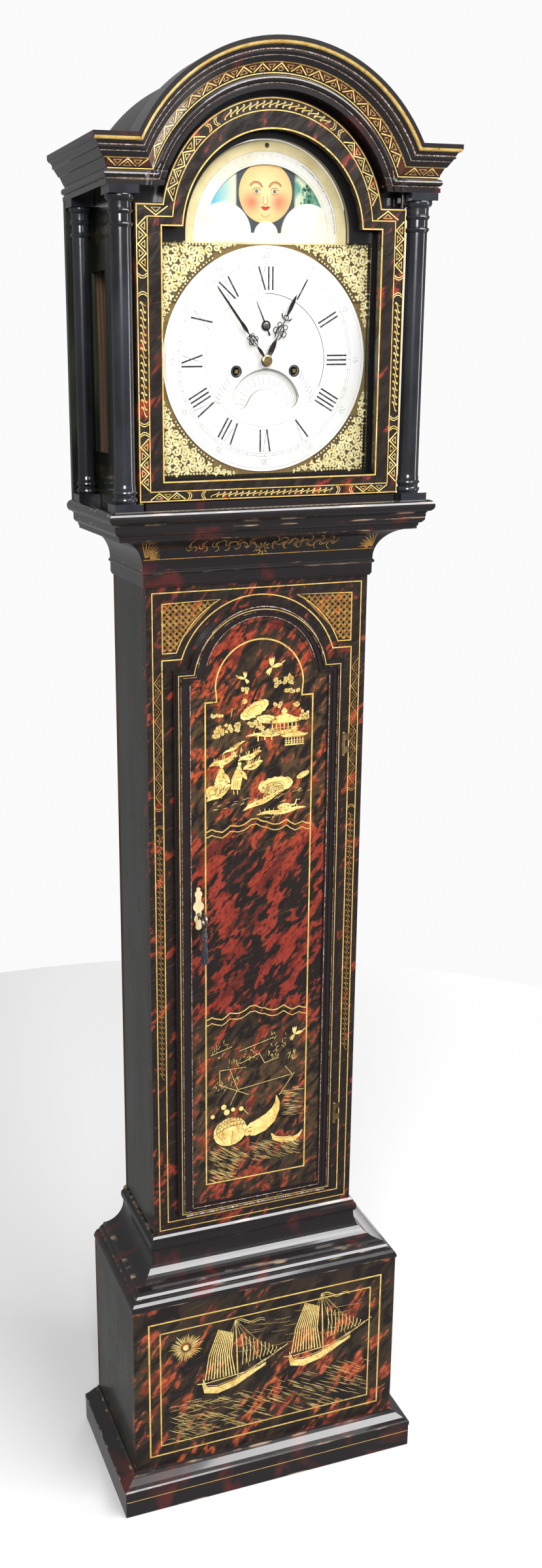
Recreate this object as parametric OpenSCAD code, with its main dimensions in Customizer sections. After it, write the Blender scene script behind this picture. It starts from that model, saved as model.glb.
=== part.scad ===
// Longcase clock: a lacquered pine case with an arched hood that slides off,
// an arched brass dial with moon and calendar, and an eight-day weight-driven
// movement with a seconds pendulum.
//
// X is the width, Y the depth (the back is +Y) and Z the height, from the
// floor. Inside placed(), depths are counted from the front of the trunk.

/* [Case heights] */
// Height of the plinth around the foot of the base
plinth_h = 62; // [50:1:80]
// Height of the base box above the plinth
base_h = 307; // [250:1:370]
// Height of the coved moulding between base and trunk
cove_h = 90; // [80:1:110]
// Height of the trunk between its mouldings
trunk_h = 1058; // [880:1:1280]
// Height of the coved moulding under the hood
throat_h = 89; // [80:1:105]

/* [Case widths and depths] */
// Width of the trunk
trunk_w = 347; // [289:1:420]
// Depth of the trunk, front to back
trunk_d = 160; // [150:1:195]
// How far the base stands out at each side of the trunk
base_side = 58.5; // [50:0.5:75]
// How far the base stands out in front of the trunk
base_front_out = 64; // [52:1:80]
// How far the plinth stands out around the base
plinth_out = 26; // [20:1:32]

/* [Case boards] */
// Thickness of the side boards
board_t = 12; // [10:1:15]
// Thickness of the trunk's front frame
frame_t = 19; // [16:1:23]
// Thickness of the backboard
back_t = 12; // [10:1:15]
// Height of the case floor above the ground
floor_z = 12; // [8:1:20]

/* [Trunk door] */
// Width of the door opening
door_open_w = 248; // [220:1:270]
// Distance from the foot of the trunk to the opening
door_foot = 41; // [35:1:60]
// Distance from the opening's shoulders to the top of the trunk
door_head = 134; // [125:1:160]
// Radius of the opening's arch
door_arch_r = 101; // [85:1:108]
// How far the lipped edge covers the frame
door_lip = 11; // [8:1:13]
// How far the lip moulding stands in front of the frame
door_lip_t = 11; // [9:1:13]
// Width of the lip moulding
door_mould_w = 25; // [20:1:30]
// Thickness of the door board behind the frame's face
door_board_t = 16; // [13:1:18]

/* [Hood] */
// Height from the hood's sill to its cornice
hood_h = 410; // [400:1:470]
// Height of the moulding that carries the hood
hood_foot_h = 24; // [20:1:30]
// How far the hood stands out at each side of the trunk
hood_side = 29.5; // [27:0.5:36]
// How far the hood door stands in front of the trunk
hood_front_out = 45; // [42:1:52]
// Height of the cornice
cornice_h = 59; // [52:1:70]
// How far the cornice stands out from the hood's sides
cornice_side_out = 33.5; // [31:0.5:40]
// How far the cornice stands out from the hood door
cornice_front_out = 14.7; // [13:0.1:18]
// Spread of the cornice from its foot to its top
cornice_spread = 21; // [17:1:25]
// Radius of the cornice arch at its foot
cornice_arch_r = 166; // [164:1:180]
// Thickness of the hood's side boards
hood_board_t = 8; // [6:1:10]
// Thickness of the hood door
hood_door_t = 20; // [18:1:22]
// Radius of a hood column
column_r = 15.5; // [12:0.5:16]

/* [Dial] */
// Width of the square part of the dial
dial_w = 304.8; // [295:0.1:315]
// Radius of the arch over the dial
dial_arch_r = 118; // [110:1:122]
// Radius of the silvered hour disc
disc_r = 149.5; // [140:0.5:150]
// Height of the dial's centre above the hood's sill
dial_centre = 194; // [190:1:215]
// Height of the seconds arbor above the dial's centre
seconds_up = 46; // [44:0.5:48]
// Half the distance between the two winding squares
winding_x = 43; // [41:0.5:45]
// How far the winding squares lie below the dial's centre
winding_down = 14; // [12:0.5:16]

/* [Movement] */
// Distance between the movement's plates
plate_gap = 62; // [58:1:70]
// Thickness of a movement plate
plate_t = 3.5; // [3:0.1:4.5]
// Radius of a winding barrel
barrel_r = 24; // [20:1:26]
// Length of the pendulum from its spring to the middle of its bob
pendulum_l = 994; // [830:1:1010]
// Radius of the pendulum bob
bob_r = 52; // [43:1:60]
// Radius of a driving weight
weight_r = 28; // [23:1:31]
// Length of a driving weight
weight_l = 190; // [160:1:228]

/* [Clearances] */
// Radial clearance of a turning shaft
run = 0.05; // [0.03:0.01:0.1]
// Gap round a door or a sliding piece
gap = 1; // [0.6:0.1:2]

/* [Hidden] */
$fn = 64;

// Heights
base_top = plinth_h + base_h;
trunk_z = base_top + cove_h;
trunk_top = trunk_z + trunk_h;
hood_foot = trunk_top + throat_h;
hood_z = hood_foot + hood_foot_h;
cornice_z = hood_z + hood_h;
cornice_top = cornice_z + cornice_h;
cheek_top = hood_z + 100;
seat_t = 20;

// Half widths and depths
trunk_x = trunk_w / 2;
base_x = trunk_x + base_side;
plinth_x = base_x + plinth_out;
hood_x = trunk_x + hood_side;
back_y = trunk_d;
plinth_y = -base_front_out - plinth_out;
front_shift = -(back_y + plinth_y) / 2;
far = 2000;
cut = 1;

// Trunk door
door_x = door_open_w / 2;
door_z = trunk_z + door_foot;
door_shoulder = trunk_top - door_head;
door_arch_z = door_shoulder - 11;
field_y = -6;
hinge_x = door_x + door_lip + 3.5;
hinge_y = -5;
hinge_drops = [door_shoulder - door_z - 123, 128];
key_x = -door_x + 26;
key_z = door_z + 513;

// Hood door, its columns and arches
hood_face = -hood_front_out;
arch_z = cornice_z - 47;
arch_r = cornice_arch_r;
hood_door_r = cornice_arch_r - 6;
hood_door_x = hood_x - 8.5;
hood_door_z = hood_z + 10.5;
hood_door_top = cornice_z - 19;
glass_x = hood_x - 45;
glass_z = hood_z + 37;
glass_shoulder = cornice_z - 47;
glass_arch_z = arch_z - 8;
glass_arch_r = hood_door_r - 31;
glass_t = 3;
pivot_x = hood_door_x - 4.5;
pivot_y = hood_face + 5;
pivot_r = 2.5;
mask_y = hood_face + hood_door_t + gap;
mask_t = 7.5;
side_front = mask_y + 2;
column_x = hood_x + 10;
column_y = hood_face + 4;
rear_column_x = hood_x + 17;
rear_column_y = back_y - 30;
rear_column_r = 13;
block_w = 40;
ring_r = column_x - hood_door_x - 1.3;
cap_r = column_x - pivot_x - pivot_r - 0.6;
hood_back = back_y - 2;
cheek_x = hood_x - hood_board_t - 1;
window_y = [70, 137];
window_z = [hood_z + 70, cornice_z - 94];

// Dial
dial_x = dial_w / 2;
dial_z = hood_z + dial_centre;
dial_y = -15;
dial_t = 3;
disc_t = 1.5;
moon_z = dial_z + dial_x + 10.6;
moon_open_r = 88;
hump_x = 61;
hump_r = 39;
boss_r = 17;
winding_z = dial_z - winding_down;
seconds_z = dial_z + seconds_up;
calendar_z = dial_z - 63.5;
calendar_r = 55.5;
mouth_r = [26, 52];
mouth_turn = 18;
back_disc_y = dial_y + dial_t + 0.3;
back_disc_t = 1;

// Movement
front_plate_y = 4.5;
inner_y = front_plate_y + plate_t;
back_plate_y = inner_y + plate_gap;
rear_y = back_plate_y + plate_t;
plate_x = 88;
plate_z = [dial_z - 74, dial_z + 92];
pallet_z = seconds_z + 23;
pendulum_y = rear_y + 31;
rod_r = 2.5;
arbor_r = 2;
barrel_arbor_r = 3.5;
barrel_y = [inner_y + 9, back_plate_y - 14];
great_y = inner_y + 4;
great_r = 41.7;
third = [15.6, dial_z + 28.3];
minute_at = [-23.4, dial_z + 13.5];
line_y = barrel_y[1] - 4;
line_r = 1;
pulley_r = 18.6;
loop_r = 20;
function line_x(s) = s * winding_x - barrel_r;
function weight_x(s) = line_x(s) + loop_r;
pulley_drop = 330;
strike_extra = 70;
bell_y = 42;
bell_z = plate_z[1] + 26;
bell_r = 44;
hammer_at = [-70, plate_z[1] - 17];

// ---------------------------------------------------------------- helpers

// Puts pieces drawn from the trunk's front plane into the clock's frame.
module placed() { translate([0, front_shift, 0]) children(); }

// Stands a flat outline, drawn as seen from the front, up at depth y.
module slab(y, t) { translate([0, y + t, 0]) rotate([90, 0, 0]) linear_extrude(t) children(); }

// A round bar that runs from front to back.
module bar_y(x, z, r, y0, y1) {
    translate([x, y1, z]) rotate([90, 0, 0]) cylinder(r = r, h = y1 - y0);
}

module box(x0, x1, y0, y1, z0, z1) { translate([x0, y0, z0]) cube([x1 - x0, y1 - y0, z1 - z0]); }

module mirrored() {
    children();
    mirror([1, 0, 0]) children();
}

// Points along an arc.
function arc(cx, cy, r, a0, a1, n = 8) =
    [for (i = [0:n]) [cx + r * cos(a0 + (a1 - a0) * i / n), cy + r * sin(a0 + (a1 - a0) * i / n)]];

// A block whose front and two sides carry the same moulding. Each point is
// how far it stands out and its height; kx and ky stretch the first of them.
module moulded_block(pts, half_w, front, back, kx = 1, ky = 1) {
    n = len(pts);
    right = [for (p = pts) [half_w + kx * p[0], p[1]]];
    left = [for (i = [n - 1:-1:0]) [-half_w - kx * pts[i][0], pts[i][1]]];
    face = [for (p = pts) [front - ky * p[0], p[1]]];
    rear = [[back, pts[n - 1][1]], [back, pts[0][1]]];
    intersection() {
        translate([0, back, 0]) rotate([90, 0, 0]) linear_extrude(far) polygon(concat(right, left));
        translate([-far / 2, 0, 0]) rotate([90, 0, 90]) linear_extrude(far) polygon(concat(face, rear));
    }
}

// A rectangle with an arch over it, the arch narrower than the rectangle.
module arched(half_w, z0, shoulder, r, centre) {
    union() {
        translate([-half_w, z0]) square([2 * half_w, shoulder - z0]);
        intersection() {
            translate([0, centre]) circle(r = r, $fn = 128);
            translate([-r, min(centre, shoulder) - cut]) square([2 * r, 2 * r]);
        }
    }
}

module door_outline(g) {
    arched(door_x + g, door_z - g, door_shoulder + g, door_arch_r + g, door_arch_z);
}

module glass_outline(g) {
    arched(glass_x + g, glass_z - g, glass_shoulder + g, glass_arch_r + g, glass_arch_z);
}

module dial_outline(g) {
    arched(dial_x + g, dial_z - dial_x - g, dial_z + dial_x + g, dial_arch_r + g, moon_z);
    translate([-dial_arch_r - g, dial_z]) square([2 * (dial_arch_r + g), moon_z - dial_z]);
}

// A toothed outline with straight-sided teeth, one of them at angle start.
module toothed(n, root, tip, share, start) {
    pitch = 360 / n;
    w = pitch * share / 2;
    polygon([for (i = [0:n - 1]) for (k = [[-1.25, root], [-0.8, tip], [0.8, tip], [1.25, root]])
        [k[1] * cos(start + i * pitch + k[0] * w), k[1] * sin(start + i * pitch + k[0] * w)]]);
}

// A brass wheel: toothed rim, crossed out into arms, with a hub.
module wheel_outline(n, pitch_r, start, hub, arms = 4, share = 0.36, up = 0.6, down = 1.3) {
    rim = pitch_r * 0.8;
    difference() {
        toothed(n, pitch_r - down, pitch_r + up, share, start);
        circle(r = rim);
    }
    circle(r = hub);
    for (i = [0:arms - 1]) rotate(i * 360 / arms + 45)
        translate([0, -pitch_r * 0.05]) square([rim + 0.2, pitch_r * 0.1]);
}

module pinion_outline(n, pitch_r, start, up = 0.2, down = 1.3) {
    toothed(n, pitch_r - down, pitch_r + up, 0.24, start);
}

// ---------------------------------------------------------------- the case

plinth_pts = [[-18, 0], [25 / 26 * plinth_out, 0], [25 / 26 * plinth_out, 40], [plinth_out, 41],
    [plinth_out, plinth_h - 14], [plinth_out - 2, plinth_h - 12], [plinth_out - 8, plinth_h - 10],
    [8, plinth_h - 4], [3, plinth_h - 2], [2, plinth_h], [-18, plinth_h]];

module plinth_moulding() placed() color([0.16, 0.08, 0.06]) difference() {
    moulded_block([for (p = plinth_pts) if (p[0] > 0) p], base_x, -base_front_out, back_y);
    box(-base_x, base_x, -base_front_out, back_y + cut, -cut, plinth_h + cut);
}

module base_front() placed() color([0.22, 0.09, 0.06])
    box(-base_x, base_x, -base_front_out, -base_front_out + board_t, floor_z, base_top);

module base_side(s) placed() color([0.08, 0.09, 0.06]) mirror([s < 0 ? 1 : 0, 0, 0])
    box(base_x - board_t, base_x, -base_front_out + board_t, back_y - back_t, floor_z, base_top);

module base_side_left() base_side(-1);
module base_side_right() base_side(1);

module base_floor() placed() color([0.45, 0.32, 0.2])
    box(-base_x + board_t, base_x - board_t, -base_front_out + board_t, back_y - back_t,
        floor_z, floor_z + board_t);

// The cove between base and trunk, written as shares of the base's projection.
cove_rise = cove_h - 65;
cove_pts = concat([[1.02, 0], [1.03, 3]], arc(0.86, 4, 0.17, 0, 0, 1),
    [[0.995, 9], [0.94, 13], [0.86, 15], [0.85, 17], [0.8, 20], [0.74, 22], [0.73, cove_rise]],
    [for (p = arc(42 / 58.5, cove_rise + 36, 1, 262, 184, 10))
        [42 / 58.5 + 36 / 58.5 * cos(atan2(p[1] - cove_rise - 36, p[0] - 42 / 58.5)),
            cove_rise + 36 + 36 * sin(atan2(p[1] - cove_rise - 36, p[0] - 42 / 58.5))]],
    [[0.1, cove_rise + 40], [0.1, cove_h - 23], [0.15, cove_h - 21], [0.17, cove_h - 15],
        [0.15, cove_h - 9], [0.09, cove_h - 7], [0.09, cove_h - 3], [0.04, cove_h]]);

module base_moulding() placed() color([0.17, 0.1, 0.08]) difference() {
    moulded_block([for (p = cove_pts) [p[0] * base_side, base_top + p[1]]],
        trunk_x, 0, back_y, 1, base_front_out / base_side);
    box(-trunk_x, trunk_x, 0, back_y + cut, base_top - cut, trunk_z + cut);
}

module trunk_side(s) placed() color([0.08, 0.09, 0.06]) mirror([s < 0 ? 1 : 0, 0, 0])
    box(trunk_x - board_t, trunk_x, frame_t, back_y - back_t, base_top, cheek_top);

module trunk_side_left() trunk_side(-1);
module trunk_side_right() trunk_side(1);

module trunk_front_frame() placed() color([0.22, 0.09, 0.06]) slab(0, frame_t) difference() {
    translate([-trunk_x, base_top]) square([trunk_w, hood_foot - base_top]);
    door_outline(0);
}

// One wide plank for the base, a narrower one up to the hood.
module backboard() placed() color([0.4, 0.28, 0.18]) slab(back_y - back_t, back_t) {
    translate([-base_x, floor_z]) square([2 * base_x, base_top - floor_z]);
    translate([-trunk_x, floor_z]) square([trunk_w, cornice_z - 20 - floor_z]);
    translate([-cheek_x, hood_z + 2]) square([2 * cheek_x, cornice_z - 20 - hood_z - 2]);
}

throat_pts = concat([[3, 0], [3, 2], [4.5, 3], [4.5, 18]], arc(5, 21, 2.4, -60, 60, 4), [[5, 25]],
    [for (p = arc(50, 26, 45, 180, 96, 10)) [p[0], p[1]]],
    [[51.5, 71], [51.5, 75], [53, 75.5], [53, 79], [56, 80], [59, 83], [60, throat_h - 4], [60, throat_h]]);

module seat_moulding() placed() color([0.17, 0.1, 0.08]) difference() {
    moulded_block([for (p = throat_pts) [p[0], trunk_top + p[1]]], trunk_x, 0, back_y);
    box(-trunk_x, trunk_x, 0, back_y + cut, trunk_top - cut, hood_foot + cut);
}

// The board under the movement, notched for the lines.
module seat_board() placed() color([0.45, 0.32, 0.2]) difference() {
    box(-trunk_x, trunk_x, -2, rear_y + 2.5, cheek_top, cheek_top + seat_t);
    for (s = [-1, 1]) box(line_x(s) - 8, line_x(s) + 8, inner_y + 12, back_plate_y - 10,
        cheek_top - cut, cheek_top + seat_t + cut);
}

// ---------------------------------------------------------------- trunk door

knuckle_r = 3.2;
knuckle_h = 10;
hinge_pin_r = 1.7;

module trunk_hinge_fixed() placed() color("goldenrod") for (d = hinge_drops)
    translate([hinge_x, hinge_y, door_z + d]) {
        for (k = [-1, 1]) translate([0, 0, k * knuckle_h - knuckle_h / 2]) union() {
            cylinder(r = knuckle_r, h = knuckle_h - 0.3);
            translate([-1, 0, 0]) cube([2, -hinge_y, knuckle_h - 0.3]);
            translate([-1, -hinge_y - 1.4, 0]) cube([13, 1.4, knuckle_h - 0.3]);
        }
        translate([0, 0, -1.5 * knuckle_h]) cylinder(r = hinge_pin_r, h = 3 * knuckle_h);
        for (k = [-1, 1]) translate([0, 0, k * (1.5 * knuckle_h + 2)]) sphere(r = 2.8);
    }

module trunk_hinge_moving() placed() color("goldenrod") for (d = hinge_drops)
    translate([hinge_x, hinge_y, door_z + d - knuckle_h / 2]) difference() {
        union() {
            translate([0, 0, 0.15]) cylinder(r = knuckle_r, h = knuckle_h - 0.6);
            translate([-3.5, -3, 0.15]) cube([1.2, 6, knuckle_h - 0.6]);
            translate([-3.5, -1, 0.15]) cube([1.5, 2, knuckle_h - 0.6]);
        }
        translate([0, 0, -cut]) cylinder(r = hinge_pin_r + run, h = knuckle_h + 2 * cut);
    }

// A board that fills the opening and a lipped moulding that covers its edge.
module trunk_door() placed() color([0.3, 0.1, 0.06]) difference() {
    union() {
        slab(field_y, door_board_t - field_y) door_outline(-gap);
        slab(-door_lip_t + 3, door_lip_t - 3.4) door_outline(door_lip);
        slab(-door_lip_t + 1, 3) door_outline(door_lip - 3);
        slab(-door_lip_t, 2) door_outline(door_lip - 6);
    }
    slab(-door_lip_t - cut, door_lip_t - 9 + cut) door_outline(door_lip - 10);
    slab(-door_lip_t - cut, door_lip_t - 7.5 + cut) door_outline(door_lip - door_mould_w + 8);
    slab(-door_lip_t - cut, door_lip_t + field_y + cut) door_outline(door_lip - door_mould_w);
    bar_y(key_x, key_z, 3, -far / 10, door_board_t + cut);
}

lock_w = 40;
lock_h = 64;
lock_t = 10;
lock_back = door_board_t + lock_t;
lock_x = -door_x + 2 * gap;
bolt_y = frame_t + 0.6;
bolt_t = 3.4;
bolt_throw = 8;

module lock_case() placed() color([0.35, 0.33, 0.3]) difference() {
    box(lock_x, lock_x + lock_w, door_board_t, lock_back, key_z - lock_h / 2, key_z + lock_h / 2);
    box(lock_x - cut, lock_x + lock_w - 4, bolt_y - 0.1, bolt_y + bolt_t + 0.1, key_z - 16.1, key_z + 16.1);
    bar_y(key_x, key_z, 9, door_board_t - cut, bolt_y);
}

module lock_bolt() placed() color([0.5, 0.48, 0.44])
    box(lock_x + 0.3, lock_x + lock_w - 4 - 0.3, bolt_y, bolt_y + bolt_t, key_z - 16, key_z + 16);

module escutcheon() placed() color([0.9, 0.78, 0.5]) slab(field_y - 1.5, 1.5) difference() {
    union() {
        translate([key_x, key_z + 13]) circle(r = 8.7);
        translate([key_x, key_z - 7]) circle(r = 7.2);
        translate([key_x - 4.5, key_z - 17]) square([9, 52]);
        translate([key_x, key_z + 33]) circle(r = 6);
        translate([key_x, key_z + 41]) circle(r = 3.2);
        translate([key_x, key_z - 20]) circle(r = 5);
    }
    translate([key_x, key_z]) circle(r = 3);
    translate([key_x - 1.3, key_z - 9]) square([2.6, 9]);
}

bow_y = -34;
bow_r = 11;

module key() placed() color([0.75, 0.68, 0.5]) {
    difference() {
        union() {
            bar_y(key_x, key_z, 2.2, bow_y + 9, bolt_y - 0.3);
            bar_y(key_x, key_z, 3.4, bow_y + 10, bow_y + 13);
            translate([key_x - 1.5, bow_y, key_z]) rotate([0, 90, 0]) cylinder(r = bow_r, h = 3);
        }
        translate([key_x - 4, bow_y, key_z]) rotate([0, 90, 0]) cylinder(r = bow_r - 3.6, h = 8);
    }
    box(key_x - 1, key_x + 1, door_board_t + 0.6, bolt_y - 0.4, key_z - 7.5, key_z - 1);
}

// Hangs by a loop of cord round the bottom of the key's bow.
module key_tassel() placed() color([0.1, 0.12, 0.2]) translate([key_x, bow_y, key_z - bow_r + 1.8]) {
    difference() {
        bar_y(0, 0, 4.1, -0.7, 0.7);
        bar_y(0, 0, 2.7, -1, 1);
    }
    translate([0, 0, -15]) cylinder(r = 1, h = 11.6);
    translate([0, 0, -19]) sphere(r = 4.5);
    translate([0, 0, -62]) cylinder(r1 = 6.5, r2 = 3.8, h = 41);
}

// ---------------------------------------------------------------- the hood

hood_foot_pts = concat([[60.5, 0], [60.5, 5], [62, 6], [62, 7.5]],
    arc(62, 15.5, 8.3, -80, 80, 8), [[62, hood_foot_h]]);

// Moulding, sill and side rails in one three-sided frame, open at the back.
module hood_base_frame() placed() color([0.17, 0.1, 0.08]) difference() {
    union() {
        moulded_block([for (p = hood_foot_pts) [p[0], hood_foot + p[1]]], trunk_x, 0, hood_back);
        box(-pivot_x + 4, pivot_x - 4, hood_face - 3, mask_y - 0.5, hood_z, hood_z + 9);
    }
    box(-trunk_x - gap, trunk_x + gap, mask_y + mask_t, back_y + cut, hood_foot - cut, hood_z + cut);
    translate([pivot_x, pivot_y, hood_z - 7]) cylinder(r = pivot_r + run, h = 20);
}

module hood_side_board(s) placed() color([0.08, 0.09, 0.06]) mirror([s < 0 ? 1 : 0, 0, 0]) difference() {
    union() {
        box(hood_x - hood_board_t, hood_x, side_front, hood_back, hood_z, cornice_top - 4);
        box(hood_x, hood_x + 33, hood_back - 10, hood_back, hood_z, cornice_z);
    }
    box(hood_x - hood_board_t - cut, hood_x + cut, window_y[0], window_y[1], window_z[0], window_z[1]);
    box(hood_x - hood_board_t - cut, hood_x - hood_board_t / 2, window_y[0] - 5, window_y[1] + 5,
        window_z[0] - 5, window_z[1] + 5);
}

module hood_side_left() hood_side_board(-1);
module hood_side_right() hood_side_board(1);

module hood_side_glass() placed() color([0.6, 0.7, 0.7, 0.4]) mirrored()
    box(hood_x - hood_board_t / 2 - 2, hood_x - hood_board_t / 2, window_y[0] - 4, window_y[1] + 4,
        window_z[0] - 4, window_z[1] + 4);

// Height up the cornice against how far it stands out from its foot.
cornice_rise = cornice_h / 59;
cornice_pts = [for (p = concat([[0, 0], [0, 6], [-2.2, 6.5], [-2.2, 8]], arc(-2.2, 12.5, 4.5, -70, 70, 6),
    [[-2.2, 17], [-3, 17.5], [-3, 19.5], [-2, 20], [3.5, 31], [5.5, 31.5], [12, 41], [14, 41.5], [14, 44]],
    arc(20, 44, 6, 180, 100, 5), [[cornice_spread - 1.5, 51], [cornice_spread, 53], [cornice_spread, 59]]))
    [p[0], p[1] * cornice_rise]];

// The straight runs and the arch share one moulding and meet on its mitre.
module hood_cornice() placed() color([0.15, 0.09, 0.07]) difference() {
    intersection() {
        moulded_block(concat([for (p = cornice_pts) [p[0], cornice_z + p[1]]],
            [[cornice_spread, cornice_z + 400]]), hood_x + cornice_side_out,
            hood_face - cornice_front_out, hood_back);
        translate([0, hood_face - cornice_front_out, arch_z]) rotate([90, 0, 0]) rotate_extrude($fn = 128)
            polygon(concat([for (p = cornice_pts) [arch_r + p[1], p[0]]],
                [[600, cornice_spread], [600, -far / 4], [arch_r, -far / 4]]));
        union() {
            box(-far / 2, far / 2, -far / 4, far / 4, cornice_z, cornice_top);
            bar_y(0, arch_z, arch_r + cornice_h, -far / 4, mask_y);
        }
    }
    box(-hood_x, hood_x, mask_y, back_y + cut, cornice_z - cut, cornice_top + far / 4);
    translate([pivot_x, pivot_y, cornice_z - cut]) cylinder(r = pivot_r + run, h = 9);
}

// The dark board behind the hood door, cut out to show the dial.
module hood_front_board() placed() color([0.1, 0.07, 0.06]) slab(mask_y, mask_t) difference() {
    union() {
        translate([-hood_x + hood_board_t, hood_z])
            square([2 * (hood_x - hood_board_t), cornice_top - 8 - hood_z]);
        intersection() {
            translate([0, arch_z]) circle(r = arch_r + cornice_h - 13, $fn = 128);
            translate([-hood_x + hood_board_t, arch_z]) square([2 * (hood_x - hood_board_t), far]);
        }
    }
    dial_outline(0.6);
}

roof_r = arch_r + cornice_h - 7;

module hood_roof() placed() color([0.1, 0.1, 0.1]) difference() {
    union() {
        intersection() {
            bar_y(0, arch_z, roof_r, mask_y + mask_t, hood_back);
            box(-far / 4, far / 4, -far / 4, far / 4, cornice_top - 4, far * 2);
        }
        box(-hood_x, hood_x, mask_y + mask_t, hood_back, cornice_top - 4, cornice_top);
    }
    bar_y(0, arch_z, roof_r - 5, -far / 4, back_y + cut);
}

// A turned column with square blocks at head and foot. Its rings stop at
// ring, except the capital's cup, which spreads to cup above the door.
module column(r, z0, z1, block, rear, ring, cup) {
    foot = z0 + 10;
    head = z1 - 10;
    for (z = [z0, head]) translate([-block / 2, -block / 2, z]) cube([block, block / 2 + rear, 10]);
    rotate_extrude() polygon(concat([[0, foot - cut], [ring - 0.8, foot - cut]],
        arc(ring - 4.5, foot + 4.5, 4.4, -60, 70, 6), [[r - 0.6, foot + 10], [r - 0.6, foot + 11]],
        arc(r - 1.2, foot + 14.5, 2.8, -70, 70, 4), [[r - 0.2, foot + 19], [r - 0.2, foot + 21], [r - 0.9, foot + 25],
        [r - 1.3, head - 40], [r - 0.2, head - 39]], arc(r - 1.2, head - 36, 2.4, -60, 60, 4),
        [[r - 1.2, head - 33], [r - 1.2, head - 24], [r - 0.4, head - 23]],
        arc(r - 1, head - 20, 2.4, -60, 60, 4), [[r - 0.4, head - 17], [r - 0.2, head - 9], [r + 1, head - 7.4]],
        arc(cup - 7, head - 2, 6.8, -50, 20, 5), [[cup - 1, head + cut], [0, head + cut]]));
}

module front_columns() placed() color([0.07, 0.07, 0.09]) mirrored()
    translate([column_x, column_y, 0]) column(column_r, hood_z, cornice_z, block_w, mask_y - column_y, ring_r, cap_r);

module rear_columns() placed() color([0.07, 0.07, 0.09]) mirrored()
    translate([rear_column_x, rear_column_y, 0])
        column(rear_column_r, hood_z, cornice_z, 32, 16, rear_column_r + 2, rear_column_r + 2.6);

module hood_door() placed() color([0.2, 0.09, 0.07]) {
    difference() {
        slab(hood_face, hood_door_t) difference() {
            arched(hood_door_x, hood_door_z, hood_door_top, hood_door_r, arch_z);
            glass_outline(6);
        }
        translate([hood_door_x, hood_face, hood_door_z - cut]) rotate([0, 0, -45])
            translate([-3.2, -10, 0]) cube([20, 20, hood_door_top - hood_door_z + 2 * cut]);
    }
    slab(hood_face, hood_door_t - 8) difference() {
        glass_outline(6.5);
        glass_outline(0);
    }
    translate([pivot_x, pivot_y, hood_z - 5]) cylinder(r = pivot_r, h = hood_door_z - hood_z + 6);
    translate([pivot_x, pivot_y, hood_door_top - 1]) cylinder(r = pivot_r, h = cornice_z - hood_door_top + 7);
}

module hood_door_glass() placed() color([0.7, 0.8, 0.8, 0.3])
    slab(hood_face + hood_door_t - 8, glass_t) glass_outline(5);

// ---------------------------------------------------------------- the dial

// A crescent over the calendar's centre, with rounded ends.
module mouth_outline() {
    middle = (mouth_r[0] + mouth_r[1]) / 2;
    intersection() {
        difference() {
            circle(r = mouth_r[1], $fn = 96);
            circle(r = mouth_r[0], $fn = 96);
        }
        polygon([[0, 0], for (a = [mouth_turn : 12 : 180 - mouth_turn])
            (mouth_r[1] + 10) * [cos(a), sin(a)]]);
    }
    for (s = [-1, 1]) translate(middle * [s * cos(mouth_turn), sin(mouth_turn)])
        circle(r = (mouth_r[1] - mouth_r[0]) / 2 - 0.4);
}

module dial_holes() {
    translate([0, dial_z]) circle(r = 5.6);
    translate([0, seconds_z]) circle(r = 2.6);
    for (s = [-1, 1]) translate([s * winding_x, winding_z]) circle(r = 5.6);
    translate([0, calendar_z]) mouth_outline();
}

module dial_plate() placed() color([0.83, 0.7, 0.4]) {
    slab(dial_y, dial_t) difference() {
        dial_outline(0);
        dial_holes();
        difference() {
            translate([0, moon_z]) circle(r = moon_open_r, $fn = 128);
            translate([-200, moon_z - 200]) square([400, 202]);
            for (s = [-1, 1]) translate([s * hump_x, moon_z + 1]) circle(r = hump_r);
            translate([0, moon_z]) circle(r = boss_r);
        }
    }
    for (x = [-1, 1]) for (z = [plate_z[0] + 15, plate_z[1] - 12])
        bar_y(x * 76, z, 3, dial_y + dial_t - 0.5, front_plate_y);
    for (z = [moon_z, calendar_z]) {
        bar_y(0, z, 1.5, dial_y + dial_t - 0.5, back_disc_y + back_disc_t + 1.3);
        bar_y(0, z, 3, back_disc_y + back_disc_t + 0.3, back_disc_y + back_disc_t + 1.3);
    }
}

module chapter_disc() placed() color([0.93, 0.93, 0.92]) slab(dial_y - disc_t, disc_t) difference() {
    translate([0, dial_z]) circle(r = disc_r, $fn = 128);
    dial_holes();
}

// Four cast corner pieces, each a cluster of leaves in the dial's corner.
module spandrels() placed() color([0.85, 0.72, 0.4]) for (sx = [-1, 1]) for (sz = [-1, 1])
    slab(dial_y - 2, 2) intersection() {
        translate([sx > 0 ? dial_x - 76 : -dial_x + 1.5, sz > 0 ? dial_z + dial_x - 76 : dial_z - dial_x + 1.5])
            square(74.5);
        difference() {
            translate([-dial_x, dial_z - dial_x]) square(dial_w);
            translate([0, dial_z]) circle(r = disc_r + 1, $fn = 128);
        }
    }

module moon_disc() placed() color([0.3, 0.45, 0.55]) slab(back_disc_y, back_disc_t)
    translate([0, moon_z]) difference() {
        circle(r = moon_open_r + 3, $fn = 128);
        circle(r = 1.5 + run);
    }

module calendar_disc() placed() color([0.9, 0.9, 0.9]) slab(back_disc_y, back_disc_t)
    translate([0, calendar_z]) difference() {
        circle(r = calendar_r, $fn = 96);
        circle(r = 1.5 + run);
    }

// ---------------------------------------------------------------- movement

module plate_blank() translate([-plate_x, plate_z[0]]) square([2 * plate_x, plate_z[1] - plate_z[0]]);

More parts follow.
